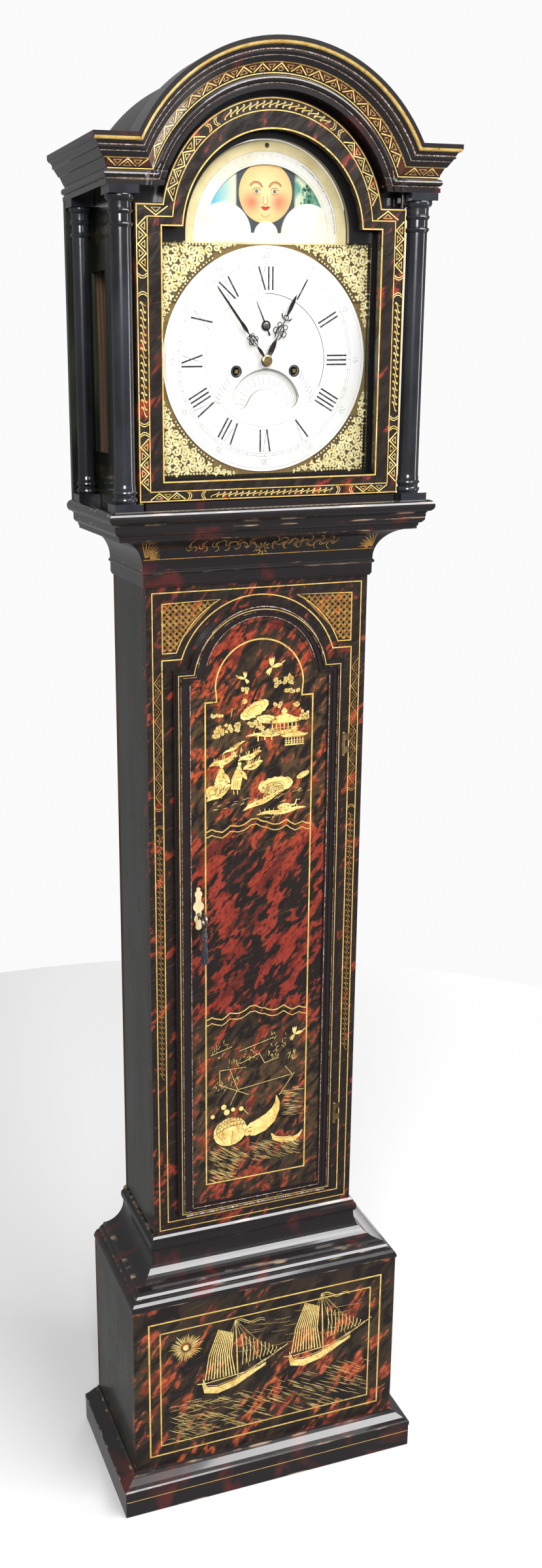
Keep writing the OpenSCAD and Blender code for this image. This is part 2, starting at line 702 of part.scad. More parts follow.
module pivots(r_barrel) {
    for (s = [-1, 1]) translate([s * winding_x, winding_z]) circle(r = r_barrel + run);
    translate([0, dial_z]) circle(r = arbor_r + run);
    translate([0, seconds_z]) circle(r = 1 + run);
    translate(third) circle(r = 1 + run);
}

module movement_front_plate() placed() color([0.82, 0.67, 0.35]) {
    slab(front_plate_y, plate_t) difference() {
        plate_blank();
        pivots(barrel_arbor_r);
        translate([0, pallet_z]) circle(r = 1 + run);
        translate(hammer_at) circle(r = 1.5 + run);
    }
    bar_y(minute_at[0], minute_at[1], 1.5, -9, front_plate_y + 0.5);
}

module movement_back_plate() placed() color([0.82, 0.67, 0.35]) {
    slab(back_plate_y, plate_t) difference() {
        plate_blank();
        pivots(barrel_arbor_r);
        translate([0, pallet_z]) circle(r = 8);
        translate(hammer_at) circle(r = 1.5 + run);
    }
    for (x = [-80, 80]) for (z = [plate_z[0] + 8, plate_z[1] - 8]) {
        bar_y(x, z, 4.5, inner_y, back_plate_y + 0.5);
        bar_y(x, z, 6.5, inner_y + 12, inner_y + 16);
        bar_y(x, z, 6.5, back_plate_y - 16, back_plate_y - 12);
    }
}

cock_y = rear_y + 23;

module back_cock() placed() color([0.85, 0.7, 0.38]) {
    difference() {
        union() {
            slab(cock_y, 4) translate([-26, pallet_z - 7]) square([52, 14]);
            mirrored() box(18, 26, rear_y, cock_y + 0.5, pallet_z - 7, pallet_z + 7);
            mirrored() box(18, 40, rear_y, rear_y + 3, pallet_z - 7, pallet_z + 7);
            box(-7, 7, cock_y, pendulum_y + 6, pallet_z + 5, pallet_z + 11);
            box(-5, 5, pendulum_y - 4, pendulum_y + 4, pallet_z + 0.6, pallet_z + 6);
        }
        bar_y(0, pallet_z, 1 + run, cock_y - cut, cock_y + 4.5);
    }
}

module bell() placed() color([0.72, 0.66, 0.5]) translate([0, bell_y, bell_z]) difference() {
    rotate_extrude($fn = 96) difference() {
        union() {
            intersection() {
                circle(r = bell_r, $fn = 96);
                square(100);
            }
            translate([0, -6]) square([bell_r, 6]);
        }
        circle(r = bell_r - 2.6, $fn = 96);
        translate([0, -10]) square([bell_r - 2.6, 10]);
        translate([-100, -50]) square([100, 200]);
    }
    cylinder(r = 2.5 + 2 * run, h = 100);
}

module bell_stand() placed() color([0.4, 0.38, 0.36]) {
    clear_y = max(rear_y, bell_y + bell_r + 2);
    box(-5, 5, rear_y, clear_y + 4, pallet_z + 14, pallet_z + 18);
    box(-5, 5, clear_y, clear_y + 4, pallet_z + 14, bell_z + bell_r + 14);
    box(-5, 5, bell_y - 5, clear_y + 4, bell_z + bell_r + 10, bell_z + bell_r + 14);
    translate([0, bell_y, bell_z + bell_r - 1 - 2.6]) difference() {
        union() {
            translate([0, 0, -7]) cylinder(r = 2.5, h = 25);
            translate([0, 0, -5]) cylinder(r = 7, h = 4);
            translate([0, 0, 4.2]) cylinder(r = 6, h = 4);
        }
    }
}

module hammer() placed() color([0.5, 0.5, 0.52]) {
    bar_y(hammer_at[0], hammer_at[1], 1.5, front_plate_y + 0.2, rear_y - 0.2);
    box(hammer_at[0] - 2, hammer_at[0] + 2, bell_y - 1.5, bell_y + 1.5, hammer_at[1], bell_z + 3);
    translate([hammer_at[0] - 7, bell_y, bell_z + 1]) rotate([0, 90, 0])
        cylinder(r = 6, h = -bell_r - 1.2 - hammer_at[0] + 7);
}

mesh_great = atan2(-winding_down, winding_x);
mesh_third = atan2(third[1] - dial_z, third[0]);
mesh_escape = atan2(seconds_z - third[1], -third[0]);
mesh_minute = atan2(minute_at[1] - dial_z, minute_at[0]);
centre_wheel_y = back_plate_y - 9;
third_wheel_y = inner_y + 24;
escape_wheel_y = inner_y + 42;
cannon_y = -3;
hour_wheel_y = -7;
wheel_t = 1.8;

module centre_wheel() placed() color([0.85, 0.7, 0.38]) {
    bar_y(0, dial_z, arbor_r, -27.6, rear_y - 0.2);
    slab(centre_wheel_y, wheel_t) translate([0, dial_z]) wheel_outline(60, 28.5, mesh_third, 5);
    slab(great_y - 1, 5) translate([0, dial_z]) pinion_outline(8, 3.475, mesh_great + 22.5);
    slab(cannon_y, wheel_t) translate([0, dial_z]) wheel_outline(36, 13.5, mesh_minute, 4);
    bar_y(0, dial_z, 2.9, -24, cannon_y);
    bar_y(0, dial_z, 6, -27.3, -25.4);
}

module minute_wheel() placed() color([0.85, 0.7, 0.38]) difference() {
    union() {
        slab(cannon_y, wheel_t) translate(minute_at) wheel_outline(36, 13.5, mesh_minute + 185, 3.5);
        slab(hour_wheel_y - 0.5, 4.6) translate(minute_at) pinion_outline(6, 2.6, mesh_minute + 30, 0.1, 0.6);
    }
    bar_y(minute_at[0], minute_at[1], 1.5 + run, -10, 4);
}

module hour_wheel() placed() color([0.85, 0.7, 0.38]) difference() {
    union() {
        slab(hour_wheel_y, wheel_t) translate([0, dial_z])
            wheel_outline(72, 24.5, mesh_minute, 6, 4, 0.3, 0.3, 1);
        bar_y(0, dial_z, 4.6, -21.8, hour_wheel_y + wheel_t);
    }
    bar_y(0, dial_z, 2.9 + run, -30, 4);
}

module hand_outline(l, hub, w) {
    difference() {
        union() {
            circle(r = hub);
            translate([-w / 2, 0]) square([w, l * 0.42]);
            translate([0, l * 0.3]) circle(r = l * 0.1);
            translate([0, l * 0.46]) circle(r = l * 0.12);
            polygon([[-w, l * 0.5], [w, l * 0.5], [w * 0.35, l], [-w * 0.35, l]]);
        }
        translate([0, l * 0.3]) circle(r = l * 0.06);
        translate([0, l * 0.46]) circle(r = l * 0.075);
    }
}

minute_angle = 37;
hour_angle = -27;
seconds_angle = 24;

module minute_hand() placed() color([0.15, 0.17, 0.25]) slab(-25.4, 1) translate([0, dial_z])
    rotate(minute_angle) difference() {
        hand_outline(122, 6.5, 2.4);
        circle(r = arbor_r);
    }

module hour_hand() placed() color([0.15, 0.17, 0.25]) slab(-21.8, 1.2) translate([0, dial_z])
    rotate(hour_angle) difference() {
        hand_outline(92, 8, 3.6);
        circle(r = 4.6);
    }

module great_wheel() placed() color([0.85, 0.7, 0.38]) slab(great_y, 3)
    translate([winding_x, winding_z]) difference() {
        wheel_outline(96, great_r, mesh_great + 180, 12);
        circle(r = barrel_arbor_r + run);
    }

module barrel_blank(s) {
    bar_y(s * winding_x, winding_z, barrel_arbor_r, front_plate_y - 3, rear_y - 0.2);
    box(s * winding_x - 2.4, s * winding_x + 2.4, dial_y - disc_t - 0.6, front_plate_y - 2.5,
        winding_z - 2.4, winding_z + 2.4);
    bar_y(s * winding_x, winding_z, barrel_r - line_r, barrel_y[0], barrel_y[1]);
    for (y = [barrel_y[0], barrel_y[1] - 2]) bar_y(s * winding_x, winding_z, barrel_r + 2.5, y, y + 2);
}

module going_barrel() placed() color([0.8, 0.66, 0.36]) difference() {
    barrel_blank(1);
    line_run(1, 0.4);
}

module strike_barrel() placed() color([0.8, 0.66, 0.36]) {
    difference() {
        barrel_blank(-1);
        line_run(-1, 0.4);
    }
    slab(great_y, 3) translate([-winding_x, winding_z]) wheel_outline(78, 35, 0, 12);
}

module third_wheel() placed() color([0.85, 0.7, 0.38]) {
    bar_y(third[0], third[1], 1, front_plate_y + 0.2, rear_y - 0.2);
    bar_y(third[0], third[1], 1.8, inner_y + 0.5, back_plate_y - 0.5);
    slab(third_wheel_y, wheel_t) translate(third) wheel_outline(56, 21, mesh_escape, 4.5);
    slab(centre_wheel_y - 1, 4) translate(third) pinion_outline(8, 3.8, mesh_third + 180 + 22.5);
}

// The escape wheel's teeth lean forward and come to points.
module escape_wheel() placed() color([0.85, 0.7, 0.38]) {
    bar_y(0, seconds_z, 1, -19.6, rear_y - 0.2);
    bar_y(0, seconds_z, 1.7, inner_y + 0.5, back_plate_y - 0.5);
    slab(third_wheel_y - 1, 4) translate([0, seconds_z]) pinion_outline(7, 2.6, mesh_escape + 180 + 360 / 14, 0.2, 0.9);
    slab(escape_wheel_y, 1.4) translate([0, seconds_z]) {
        difference() {
            polygon([for (i = [0:29]) for (k = [[0, 14.2], [7, 17], [7.6, 17], [8.4, 14.2]])
                [k[1] * sin(i * 12 + k[0]), k[1] * cos(i * 12 + k[0])]]);
            circle(r = 12.6);
        }
        circle(r = 4);
        for (i = [0:3]) rotate(i * 90) translate([0, -0.9]) square([12.8, 1.8]);
    }
}

module seconds_hand() placed() color([0.3, 0.33, 0.4]) slab(-19, 1.2) translate([0, seconds_z])
    rotate(seconds_angle) difference() {
        union() {
            circle(r = 5);
            polygon([[-1.2, -22], [1.2, -22], [0.5, 38], [-0.5, 38]]);
        }
        circle(r = 1);
    }

// Pallets, their arbor and the crutch that reaches down to the rod.
module anchor() placed() color([0.45, 0.45, 0.48]) {
    bar_y(0, pallet_z, 1, front_plate_y + 0.2, cock_y + 3.8);
    bar_y(0, pallet_z, 2, inner_y + 0.5, cock_y - 0.5);
    slab(escape_wheel_y - 1, 3.4) translate([0, pallet_z]) difference() {
        union() {
            circle(r = 5);
            for (s = [-1, 1]) rotate(-s * 16) translate([s > 0 ? 0 : -17.5, -2]) square([17.5, 4]);
            for (s = [-1, 1]) polygon([[s * 15.2, -5], [s * 17.6, -4], [s * 17.9, -13], [s * 16.6, -14.5]]);
        }
        translate([0, -23]) circle(r = 17.9);
    }
    box(-2, 2, rear_y + 6, rear_y + 8.5, pallet_z - 112, pallet_z + 2);
    box(-5.4, 5.4, rear_y + 6, rear_y + 10, pallet_z - 116, pallet_z - 110);
    mirrored() box(rod_r + 0.35, 5.4, rear_y + 6, pendulum_y + 6, pallet_z - 116, pallet_z - 110);
}

bob_z = pallet_z - pendulum_l;
nut_seat = 1.2;

// Suspension spring, brass ferrule, rod, and the rating nut under the bob.
module pendulum_rod() placed() color([0.55, 0.53, 0.5]) translate([0, pendulum_y, 0]) {
    translate([-0.3, -4, pallet_z - 22]) cube([0.6, 8, 22]);
    translate([0, 0, pallet_z - 32]) cylinder(r = 4.6, h = 11);
    translate([0, 0, bob_z - bob_r - 20]) cylinder(r = rod_r, h = pendulum_l + bob_r - 6);
    translate([0, 0, bob_z - bob_r - 7 + nut_seat]) cylinder(r = 8, h = 7);
}

module pendulum_bob() placed() color([0.85, 0.68, 0.35]) translate([0, pendulum_y, bob_z]) difference() {
    rotate([90, 0, 0]) rotate_extrude($fn = 96) polygon(concat(
        [for (a = [0:10:80]) [bob_r * sin(a), -12 * cos(a) - 0.8]], [[bob_r, -0.8], [bob_r, 0.8]],
        [for (a = [80:-10:0]) [bob_r * sin(a), 12 * cos(a) + 0.8]]));
    translate([0, 0, -bob_r - 1]) cylinder(r = rod_r + run, h = 2 * bob_r + 2);
    box(-9, 9, -20, 20, -bob_r - 1, -bob_r + nut_seat);
}

// ---------------------------------------------------------------- weights

// The gut line: down from the barrel, round the pulley, up to the seat board.
module line_run(s, grow = 0) {
    pz = cheek_top - pulley_drop - (s < 0 ? strike_extra : 0);
    translate([line_x(s), line_y, pz]) cylinder(r = line_r + grow, h = winding_z - pz, $fn = 16);
    translate([weight_x(s) + loop_r, line_y, pz]) cylinder(r = line_r + grow, h = cheek_top - pz, $fn = 16);
    translate([weight_x(s), line_y, pz]) rotate([90, 0, 0]) rotate([0, 0, 180])
        rotate_extrude(angle = 180) translate([loop_r, 0]) circle(r = line_r + grow, $fn = 16);
}

module line_going() placed() color([0.75, 0.65, 0.45]) line_run(1);
module line_striking() placed() color([0.75, 0.65, 0.45]) line_run(-1);

// Pulley in its stirrup, hook, and the weight itself.
module weight(s) {
    pz = cheek_top - pulley_drop - (s < 0 ? strike_extra : 0);
    top = pz - 42;
    translate([weight_x(s), line_y, 0]) {
        difference() {
            bar_y(0, pz, pulley_r + 2.2, -3, 3);
            translate([0, 0, pz]) rotate([90, 0, 0]) rotate_extrude() translate([loop_r, 0])
                circle(r = line_r + 0.4, $fn = 24);
            translate([0, 0, pz]) rotate([90, 0, 0]) rotate_extrude() translate([loop_r, -1.4])
                square([4, 2.8]);
        }
        bar_y(0, pz, 2, -5.5, 5.5);
        for (k = [-1, 1]) box(-4, 4, k > 0 ? 4 : -5.5, k > 0 ? 5.5 : -4, pz - 28, pz + 4);
        box(-4, 4, -5.5, 5.5, pz - 30, pz - 27);
        translate([0, 0, top - 1]) cylinder(r = 1.8, h = pz - 28 - top);
        rotate_extrude() polygon([[0, top], [6, top], [7, top - 6], [weight_r - 3, top - 12],
            [weight_r, top - 16], [weight_r, top - weight_l + 4], [weight_r - 3, top - weight_l],
            [0, top - weight_l]]);
    }
}

module weight_going() placed() color([0.35, 0.34, 0.33]) weight(1);
module weight_striking() placed() color([0.35, 0.34, 0.33]) weight(-1);

// ---------------------------------------------------------------- output

plinth_moulding();
base_front();
base_side_left();
base_side_right();
base_floor();
base_moulding();
trunk_side_left();
trunk_side_right();
trunk_front_frame();
backboard();
seat_moulding();
seat_board();
trunk_hinge_fixed();
trunk_door();
trunk_hinge_moving();
lock_case();
escutcheon();
lock_bolt();
key();
key_tassel();
hood_base_frame();
hood_side_left();
hood_side_right();
hood_side_glass();
hood_cornice();
hood_front_board();
hood_roof();
front_columns();
rear_columns();
hood_door();
hood_door_glass();
dial_plate();
chapter_disc();
spandrels();
moon_disc();
calendar_disc();
movement_front_plate();
movement_back_plate();
back_cock();
bell();
bell_stand();
hammer();
centre_wheel();
minute_hand();
minute_wheel();
hour_wheel();
hour_hand();
great_wheel();
going_barrel();
third_wheel();
escape_wheel();
seconds_hand();
anchor();
pendulum_rod();
pendulum_bob();
strike_barrel();
weight_going();
weight_striking();
line_going();
line_striking();
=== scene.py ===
import bpy
import numpy as np
from math import pi, radians
from mathutils import Matrix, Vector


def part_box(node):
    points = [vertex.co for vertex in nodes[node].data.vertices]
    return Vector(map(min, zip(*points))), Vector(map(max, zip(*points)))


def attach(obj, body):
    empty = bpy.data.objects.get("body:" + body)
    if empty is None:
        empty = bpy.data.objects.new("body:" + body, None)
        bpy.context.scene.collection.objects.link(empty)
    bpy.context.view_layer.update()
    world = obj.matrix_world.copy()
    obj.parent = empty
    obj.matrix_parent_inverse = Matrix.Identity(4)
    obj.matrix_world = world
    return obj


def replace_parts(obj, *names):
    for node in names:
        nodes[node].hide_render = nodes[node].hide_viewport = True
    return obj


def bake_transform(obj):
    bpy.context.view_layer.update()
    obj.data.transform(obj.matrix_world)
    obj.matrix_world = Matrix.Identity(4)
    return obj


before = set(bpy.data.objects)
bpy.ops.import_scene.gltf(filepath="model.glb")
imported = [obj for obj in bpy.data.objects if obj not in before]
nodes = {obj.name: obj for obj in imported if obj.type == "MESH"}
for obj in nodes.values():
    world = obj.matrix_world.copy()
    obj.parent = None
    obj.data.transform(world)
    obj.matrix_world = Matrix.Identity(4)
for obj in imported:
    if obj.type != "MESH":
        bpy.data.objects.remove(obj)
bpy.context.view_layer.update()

# ---------------------------------------------------------------- case sides
# The pine sides of base, trunk and hood, and the hood's bent roof, are japanned
# plain greenish black. They are glued and nailed between front and backboard.


class Finish:
    """One finish: a principled shader and the nodes that feed it."""

    def __init__(self, name, **sockets):
        self.material = bpy.data.materials.new(name)
        self.material.use_nodes = True
        self.tree = self.material.node_tree
        self.shader = self.tree.nodes["Principled BSDF"]
        self.place = self.node("TexCoord").outputs["Object"]
        for socket, value in sockets.items():
            self.shader.inputs[socket.replace("_", " ")].default_value = value

    def node(self, kind, *values, **settings):
        """Adds a node; values go to its inputs in order, None skips one."""
        made = self.tree.nodes.new("ShaderNode" + kind)
        for setting, value in settings.items():
            setattr(made, setting, value)
        for socket, value in zip(made.inputs, values):
            if isinstance(value, bpy.types.NodeSocket):
                self.tree.links.new(value, socket)
            elif value is not None:
                socket.default_value = value
        return made

    def cloud(self, scale, detail=3.0, place=None, twist=0.0):
        """Soft noise of so many patches a metre, from 0 to 1."""
        made = self.node("TexNoise", place or self.place)
        made.inputs["Scale"].default_value = scale
        made.inputs["Detail"].default_value = detail
        made.inputs["Distortion"].default_value = twist
        return made.outputs[0]

    def stretched(self, scale, turn=(0, 0, 0), shift=(0, 0, 0)):
        """Object coordinates shifted, then turned, then drawn out by scale."""
        turned = self.node("Mapping", self.place, shift, turn).outputs[0]
        return self.node("Mapping", turned, (0, 0, 0), (0, 0, 0), scale).outputs[0]

    def step(self, value, low, high):
        """0 below low, 1 above high and a straight line between."""
        made = self.node("MapRange", value, low, high, 0.0, 1.0)
        return made.outputs[0]

    def sum(self, how, first, second=0.0):
        """First and second put together by the Math node's operation."""
        return self.node("Math", first, second, operation=how).outputs[0]

    def blend(self, share, under, over):
        """under where share is 0 and over where it is 1."""
        made = self.node("Mix", data_type="RGBA")
        for index, value in ((0, share), (6, under), (7, over)):
            if isinstance(value, bpy.types.NodeSocket):
                self.tree.links.new(value, made.inputs[index])
            else:
                made.inputs[index].default_value = value if index == 0 else (*value, 1.0)
        return made.outputs[2]

    def give(self, socket, output):
        """Feeds the shader's socket from a node's output."""
        self.tree.links.new(output, self.shader.inputs[socket])

    def relief(self, height, depth):
        """Bump of so many metres' depth."""
        bump = self.node("Bump")
        bump.inputs["Distance"].default_value = depth
        self.tree.links.new(height, bump.inputs["Height"])
        self.give("Normal", bump.outputs[0])

    def axis(self, letter):
        """The coordinate along one axis, in metres."""
        return self.node("SeparateXYZ", self.place).outputs["XYZ".index(letter)]

    def on(self, *names):
        """Puts the finish on CAD nodes."""
        for name in names:
            nodes[name].data.materials.clear()
            nodes[name].data.materials.append(self.material)


GREEN_BLACK = (0.008, 0.011, 0.006)
MOSS = (0.026, 0.036, 0.014)
side_lacquer = Finish("green_black_lacquer", Roughness=0.3, Coat_Weight=0.5, Coat_Roughness=0.12)
bloom = side_lacquer.cloud(9.0, 5.0, side_lacquer.stretched((2.0, 2.0, 0.7)))
grain = side_lacquer.cloud(60.0, 4.0, side_lacquer.stretched((1.0, 3.0, 0.06)))
side_lacquer.give("Base Color", side_lacquer.blend(side_lacquer.step(bloom, 0.42, 0.8), GREEN_BLACK, MOSS))
side_lacquer.give("Roughness", side_lacquer.node("MapRange", bloom, 0.3, 0.7, 0.2, 0.42).outputs[0])
side_lacquer.relief(grain, 0.0004)
side_lacquer.on("base_side_left", "base_side_right", "trunk_side_left", "trunk_side_right",
                "hood_side_left", "hood_side_right", "hood_roof")

# ------------------------------------------------------- backboard and floor
# Backboard, floor and seat board are bare knotty pine, gone brown with age.
# The backboard is two planks that the whole case is nailed to.
PINE = (0.17, 0.085, 0.036)
OLD_PINE = (0.08, 0.036, 0.015)
pine = Finish("old_pine", Roughness=0.7)
rings = pine.node("TexWave", pine.stretched((6.0, 1.0, 0.35)), bands_direction="X")
rings.inputs["Scale"].default_value = 9.0
rings.inputs["Distortion"].default_value = 7.0
rings.inputs["Detail"].default_value = 3.0
fibre = pine.cloud(90.0, 4.0, pine.stretched((4.0, 4.0, 0.08)))
dirt = pine.cloud(4.0, 4.0)
wood = pine.blend(pine.step(rings.outputs[1], 0.2, 0.9), PINE, OLD_PINE)
pine.give("Base Color", pine.blend(pine.step(dirt, 0.4, 0.75), wood, (0.06, 0.035, 0.02)))
pine.relief(fibre, 0.0006)
pine.on("backboard", "base_floor", "seat_board")

# ------------------------------------------------------------ lacquered fronts
# The fronts of base, trunk and doors are japanned to look like tortoiseshell:
# red and orange dabbed on slantwise, black clouded over, then clear varnish.
SHELL_DARK = (0.012, 0.008, 0.007)
SHELL_OLIVE = (0.075, 0.045, 0.018)
SHELL_RED = (0.21, 0.016, 0.010)
SHELL_ORANGE = (0.50, 0.10, 0.022)


def tortoiseshell(name, patch, amount, bands, rim=None):
    """Slanting dabs on black: noise drawn out along a slant and cut off at a
    level. bands are (height, red share, olive share, orange share) rows that
    blend into each other. rim(shell) is 1 where the board's edge is black."""
    shell = Finish(name, Roughness=0.3, Coat_Weight=0.35, Coat_Roughness=0.06)
    slant = shell.stretched((1.0, 1.0, 0.42), (0, radians(-40), 0))
    broad = shell.cloud(patch, 6.0, slant, 0.35)
    dabs = shell.cloud(patch * 3.2, 5.0, slant, 0.6)
    hair = shell.cloud(patch * 9.0, 3.0, slant)
    depth = shell.cloud(patch * 1.7, 4.0, slant, 0.3)
    paint = shell.sum("ADD", shell.sum("MULTIPLY", broad, 0.42), shell.sum("MULTIPLY", dabs, 0.58))
    paint = shell.sum("ADD", paint, shell.sum("MULTIPLY", shell.sum("SUBTRACT", hair, 0.5), 0.16))
    shares = []
    height = shell.axis("Z")
    for share in range(1, 4):
        level = bands[0][share]
        for row, after in zip(bands, bands[1:]):
            rise = shell.node("MapRange", height, row[0], after[0], 0.0, after[share] - row[share]).outputs[0]
            level = shell.sum("ADD", rise, level)
        shares.append(level)
    red_share, olive_share, orange_share = shares
    cut = shell.sum("SUBTRACT", amount, red_share)
    mask = shell.step(shell.sum("SUBTRACT", paint, cut), 0.0, 0.045)
    olive = shell.sum("MULTIPLY", shell.step(dabs, 0.40, 0.56), olive_share)
    ground = shell.blend(olive, SHELL_DARK, SHELL_OLIVE)
    warm = shell.sum("MULTIPLY", shell.step(hair, 0.38, 0.62), orange_share)
    red = shell.blend(warm, SHELL_RED, SHELL_ORANGE)
    red = shell.blend(shell.sum("MULTIPLY", shell.step(depth, 0.50, 0.40), 0.75), red, (0.055, 0.007, 0.005))
    red = shell.blend(shell.sum("MULTIPLY", shell.step(depth, 0.56, 0.66), 0.6), red, (0.27, 0.030, 0.018))
    red = shell.blend(shell.sum("MULTIPLY", shell.step(hair, 0.46, 0.36), 0.5), red, (0.03, 0.006, 0.005))
    colour = shell.blend(mask, ground, red)
    scratches = shell.cloud(300.0, 2.0, shell.stretched((0.05, 1.0, 1.6), (0, radians(14), 0)))
    colour = shell.blend(shell.sum("MULTIPLY", shell.step(scratches, 0.64, 0.74), 0.22),
                         colour, (0.22, 0.13, 0.07))
    if rim:
        colour = shell.blend(rim(shell), colour, (0.014, 0.008, 0.008))
    shell.give("Base Color", colour)
    shell.give("Roughness", shell.node("MapRange", dabs, 0.3, 0.7, 0.2, 0.42).outputs[0])
    shell.relief(hair, 0.0004)
    return shell


def door_rim(shell):
    """Black outside the door's flat board: below and beside it, and outside
    the arch whose centre the board's outline shares."""
    low, high = (corner * 1000 for corner in (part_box("trunk_door")[0][2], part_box("trunk_door")[1][2]))
    half, r, edge = 128.0, 105.0, 19.0
    centre = (high - r) / 1000
    x, z = shell.sum("ABSOLUTE", shell.axis("X")), shell.axis("Z")
    body = shell.sum("MULTIPLY", shell.step(x, (half - edge + 1) / 1000, (half - edge) / 1000),
                     shell.sum("MULTIPLY", shell.step(z, (low + edge) / 1000, (low + edge + 1) / 1000),
                               shell.step(z, centre + 0.001, centre)))
    away = shell.node("VectorMath", shell.stretched((1.0, 0.0, 1.0), shift=(0, 0, -centre)),
                      operation="LENGTH").outputs["Value"]
    arch = shell.step(away, (r - edge + 1) / 1000, (r - edge) / 1000)
    return shell.sum("SUBTRACT", 1.0, shell.sum("MAXIMUM", body, arch))


BASE_SHARES = [(0.08, 0.02, 0.3, 0.9), (0.24, 0.02, 0.6, 1.0), (0.36, -0.02, 0.3, 0.7)]
TRUNK_SHARES = [(0.44, 0.0, 0.1, 0.2), (1.5, 0.0, 0.1, 0.3)]
DOOR_SHARES = [(0.50, 0.0, 0.4, 0.5), (0.70, -0.01, 1.0, 0.6), (0.80, 0.0, 0.6, 0.4),
               (0.86, 0.055, 0.0, 0.1), (1.10, 0.05, 0.1, 0.25), (1.16, 0.01, 0.8, 0.8),
               (1.33, 0.01, 0.9, 0.9), (1.42, 0.03, 0.3, 0.35)]
HOOD_DOOR_SHARES = [(1.6, 0.0, 0.1, 0.05), (2.1, 0.0, 0.1, 0.05)]
tortoiseshell("base_tortoiseshell", 17.0, 0.550, BASE_SHARES).on("base_front")
tortoiseshell("trunk_tortoiseshell", 26.0, 0.552, TRUNK_SHARES).on("trunk_front_frame")
tortoiseshell("door_tortoiseshell", 27.0, 0.532, DOOR_SHARES, door_rim).on("trunk_door")
tortoiseshell("hood_door_tortoiseshell", 24.0, 0.572, HOOD_DOOR_SHARES).on("hood_door")

# ---------------------------------------------------------------- mouldings
# Plinth, coved mouldings, hood foot and cornice are run with moulding planes
# in pine, mitred at the front corners and japanned black over red.
MOULD_BLACK = (0.010, 0.007, 0.008)
MOULD_RED = (0.075, 0.010, 0.008)
# Pale ground at the chipped edges, partly wear and partly a painted highlight along the arrises.
PALE_CHIP_AND_HIGHLIGHT = (0.40, 0.28, 0.18)


def moulding_lacquer(name, red_share, edges):
    """Black gloss with red clouds; thin bands at the heights of the edges are
    rubbed through to pale ground wherever a fine noise passes a limit. These pale
    bands are partly wear and partly painted highlights along the arrises."""
    gloss = Finish(name, Roughness=0.26, Coat_Weight=1.0, Coat_Roughness=0.05)
    cloud = gloss.cloud(15.0, 5.0, gloss.stretched((1.0, 1.0, 0.8), (0, radians(-30), 0)), 0.7)
    chips = gloss.cloud(100.0, 6.0, gloss.stretched((0.22, 0.6, 1.6)))
    colour = gloss.blend(gloss.step(cloud, 0.62 - red_share, 0.74 - red_share), MOULD_BLACK, MOULD_RED)
    height = gloss.axis("Z")
    wear_and_highlight = None
    for edge in edges:
        near = gloss.step(gloss.sum("ABSOLUTE", gloss.sum("SUBTRACT", height, edge)), 0.0016, 0.0004)
        wear_and_highlight = near if wear_and_highlight is None else gloss.sum("MAXIMUM", wear_and_highlight, near)
    rubbed_and_highlit = gloss.sum("MULTIPLY", wear_and_highlight, gloss.step(chips, 0.54, 0.66))
    gloss.give("Base Color", gloss.blend(rubbed_and_highlit, colour, PALE_CHIP_AND_HIGHLIGHT))
    gloss.relief(gloss.cloud(70.0, 4.0), 0.00015)
    return gloss


plinth_low, plinth_high = (corner[2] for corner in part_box("plinth_moulding"))
cove_low, cove_high = (corner[2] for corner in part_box("base_moulding"))
throat_low, throat_high = (corner[2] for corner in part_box("seat_moulding"))
foot_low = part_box("hood_base_frame")[0][2]
cornice_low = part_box("hood_cornice")[0][2]
moulding_lacquer("plinth_lacquer", 0.09, [plinth_low + 0.0005, plinth_high - 0.002,
                                           plinth_high - 0.0135]).on("plinth_moulding")
moulding_lacquer("base_cove_lacquer", 0.06, [cove_low + 0.001, cove_low + 0.016, cove_low + 0.0245,
                                             cove_high - 0.022, cove_high - 0.001]).on("base_moulding")
moulding_lacquer("throat_lacquer", 0.05, [throat_low + 0.019, throat_low + 0.025, throat_high - 0.0175,
                                           throat_high - 0.001]).on("seat_moulding")
moulding_lacquer("hood_foot_lacquer", -0.02, [foot_low + 0.006, foot_low + 0.02]).on("hood_base_frame")
moulding_lacquer("cornice_lacquer", 0.01, [cornice_low + 0.0075]).on("hood_cornice")
moulding_lacquer("mask_lacquer", -0.3, [foot_low]).on("hood_front_board")

# ------------------------------------------------------------------ gilding
# All lines and pictures are painted in gold size and leaf over a low ridge of
# gesso. They lie on the lacquer as thin raised strokes, rubbed on their tops.
GOLD = (0.66, 0.38, 0.075)
PALE_GOLD = (0.86, 0.62, 0.20)
RUBBED_GOLD = (0.20, 0.085, 0.025)


def gilt(name, bright, dark, worn, metal):
    """Leaf gold: bright and dark patches, rubbed to brown above worn. It also
    makes the pale painted highlight lines on the door's lip and the cornice.
    """
    leaf = Finish(name, Roughness=0.36, Metallic=metal, Coat_Weight=0.3, Coat_Roughness=0.1)
    tone = leaf.cloud(85.0, 4.0)
    rub = leaf.cloud(420.0, 3.0, leaf.stretched((1.0, 1.0, 0.6), (0, radians(25), 0)))
    colour = leaf.blend(leaf.step(tone, 0.35, 0.68), bright, dark)
    leaf.give("Base Color", leaf.blend(leaf.step(rub, worn, worn + 0.08), colour, RUBBED_GOLD))
    leaf.relief(rub, 0.0002)
    return leaf.material


line_gold = gilt("line_gold", PALE_GOLD, GOLD, 0.64, 0.25)
picture_gold = gilt("picture_gold", (1.0, 0.80, 0.30), (0.74, 0.46, 0.11), 0.62, 0.15)
band_gold = gilt("band_gold", (0.62, 0.34, 0.07), (0.34, 0.14, 0.03), 0.58, 0.2)
faint_gold = gilt("faint_gold", (0.16, 0.095, 0.03), (0.05, 0.03, 0.012), 0.52, 0.2)


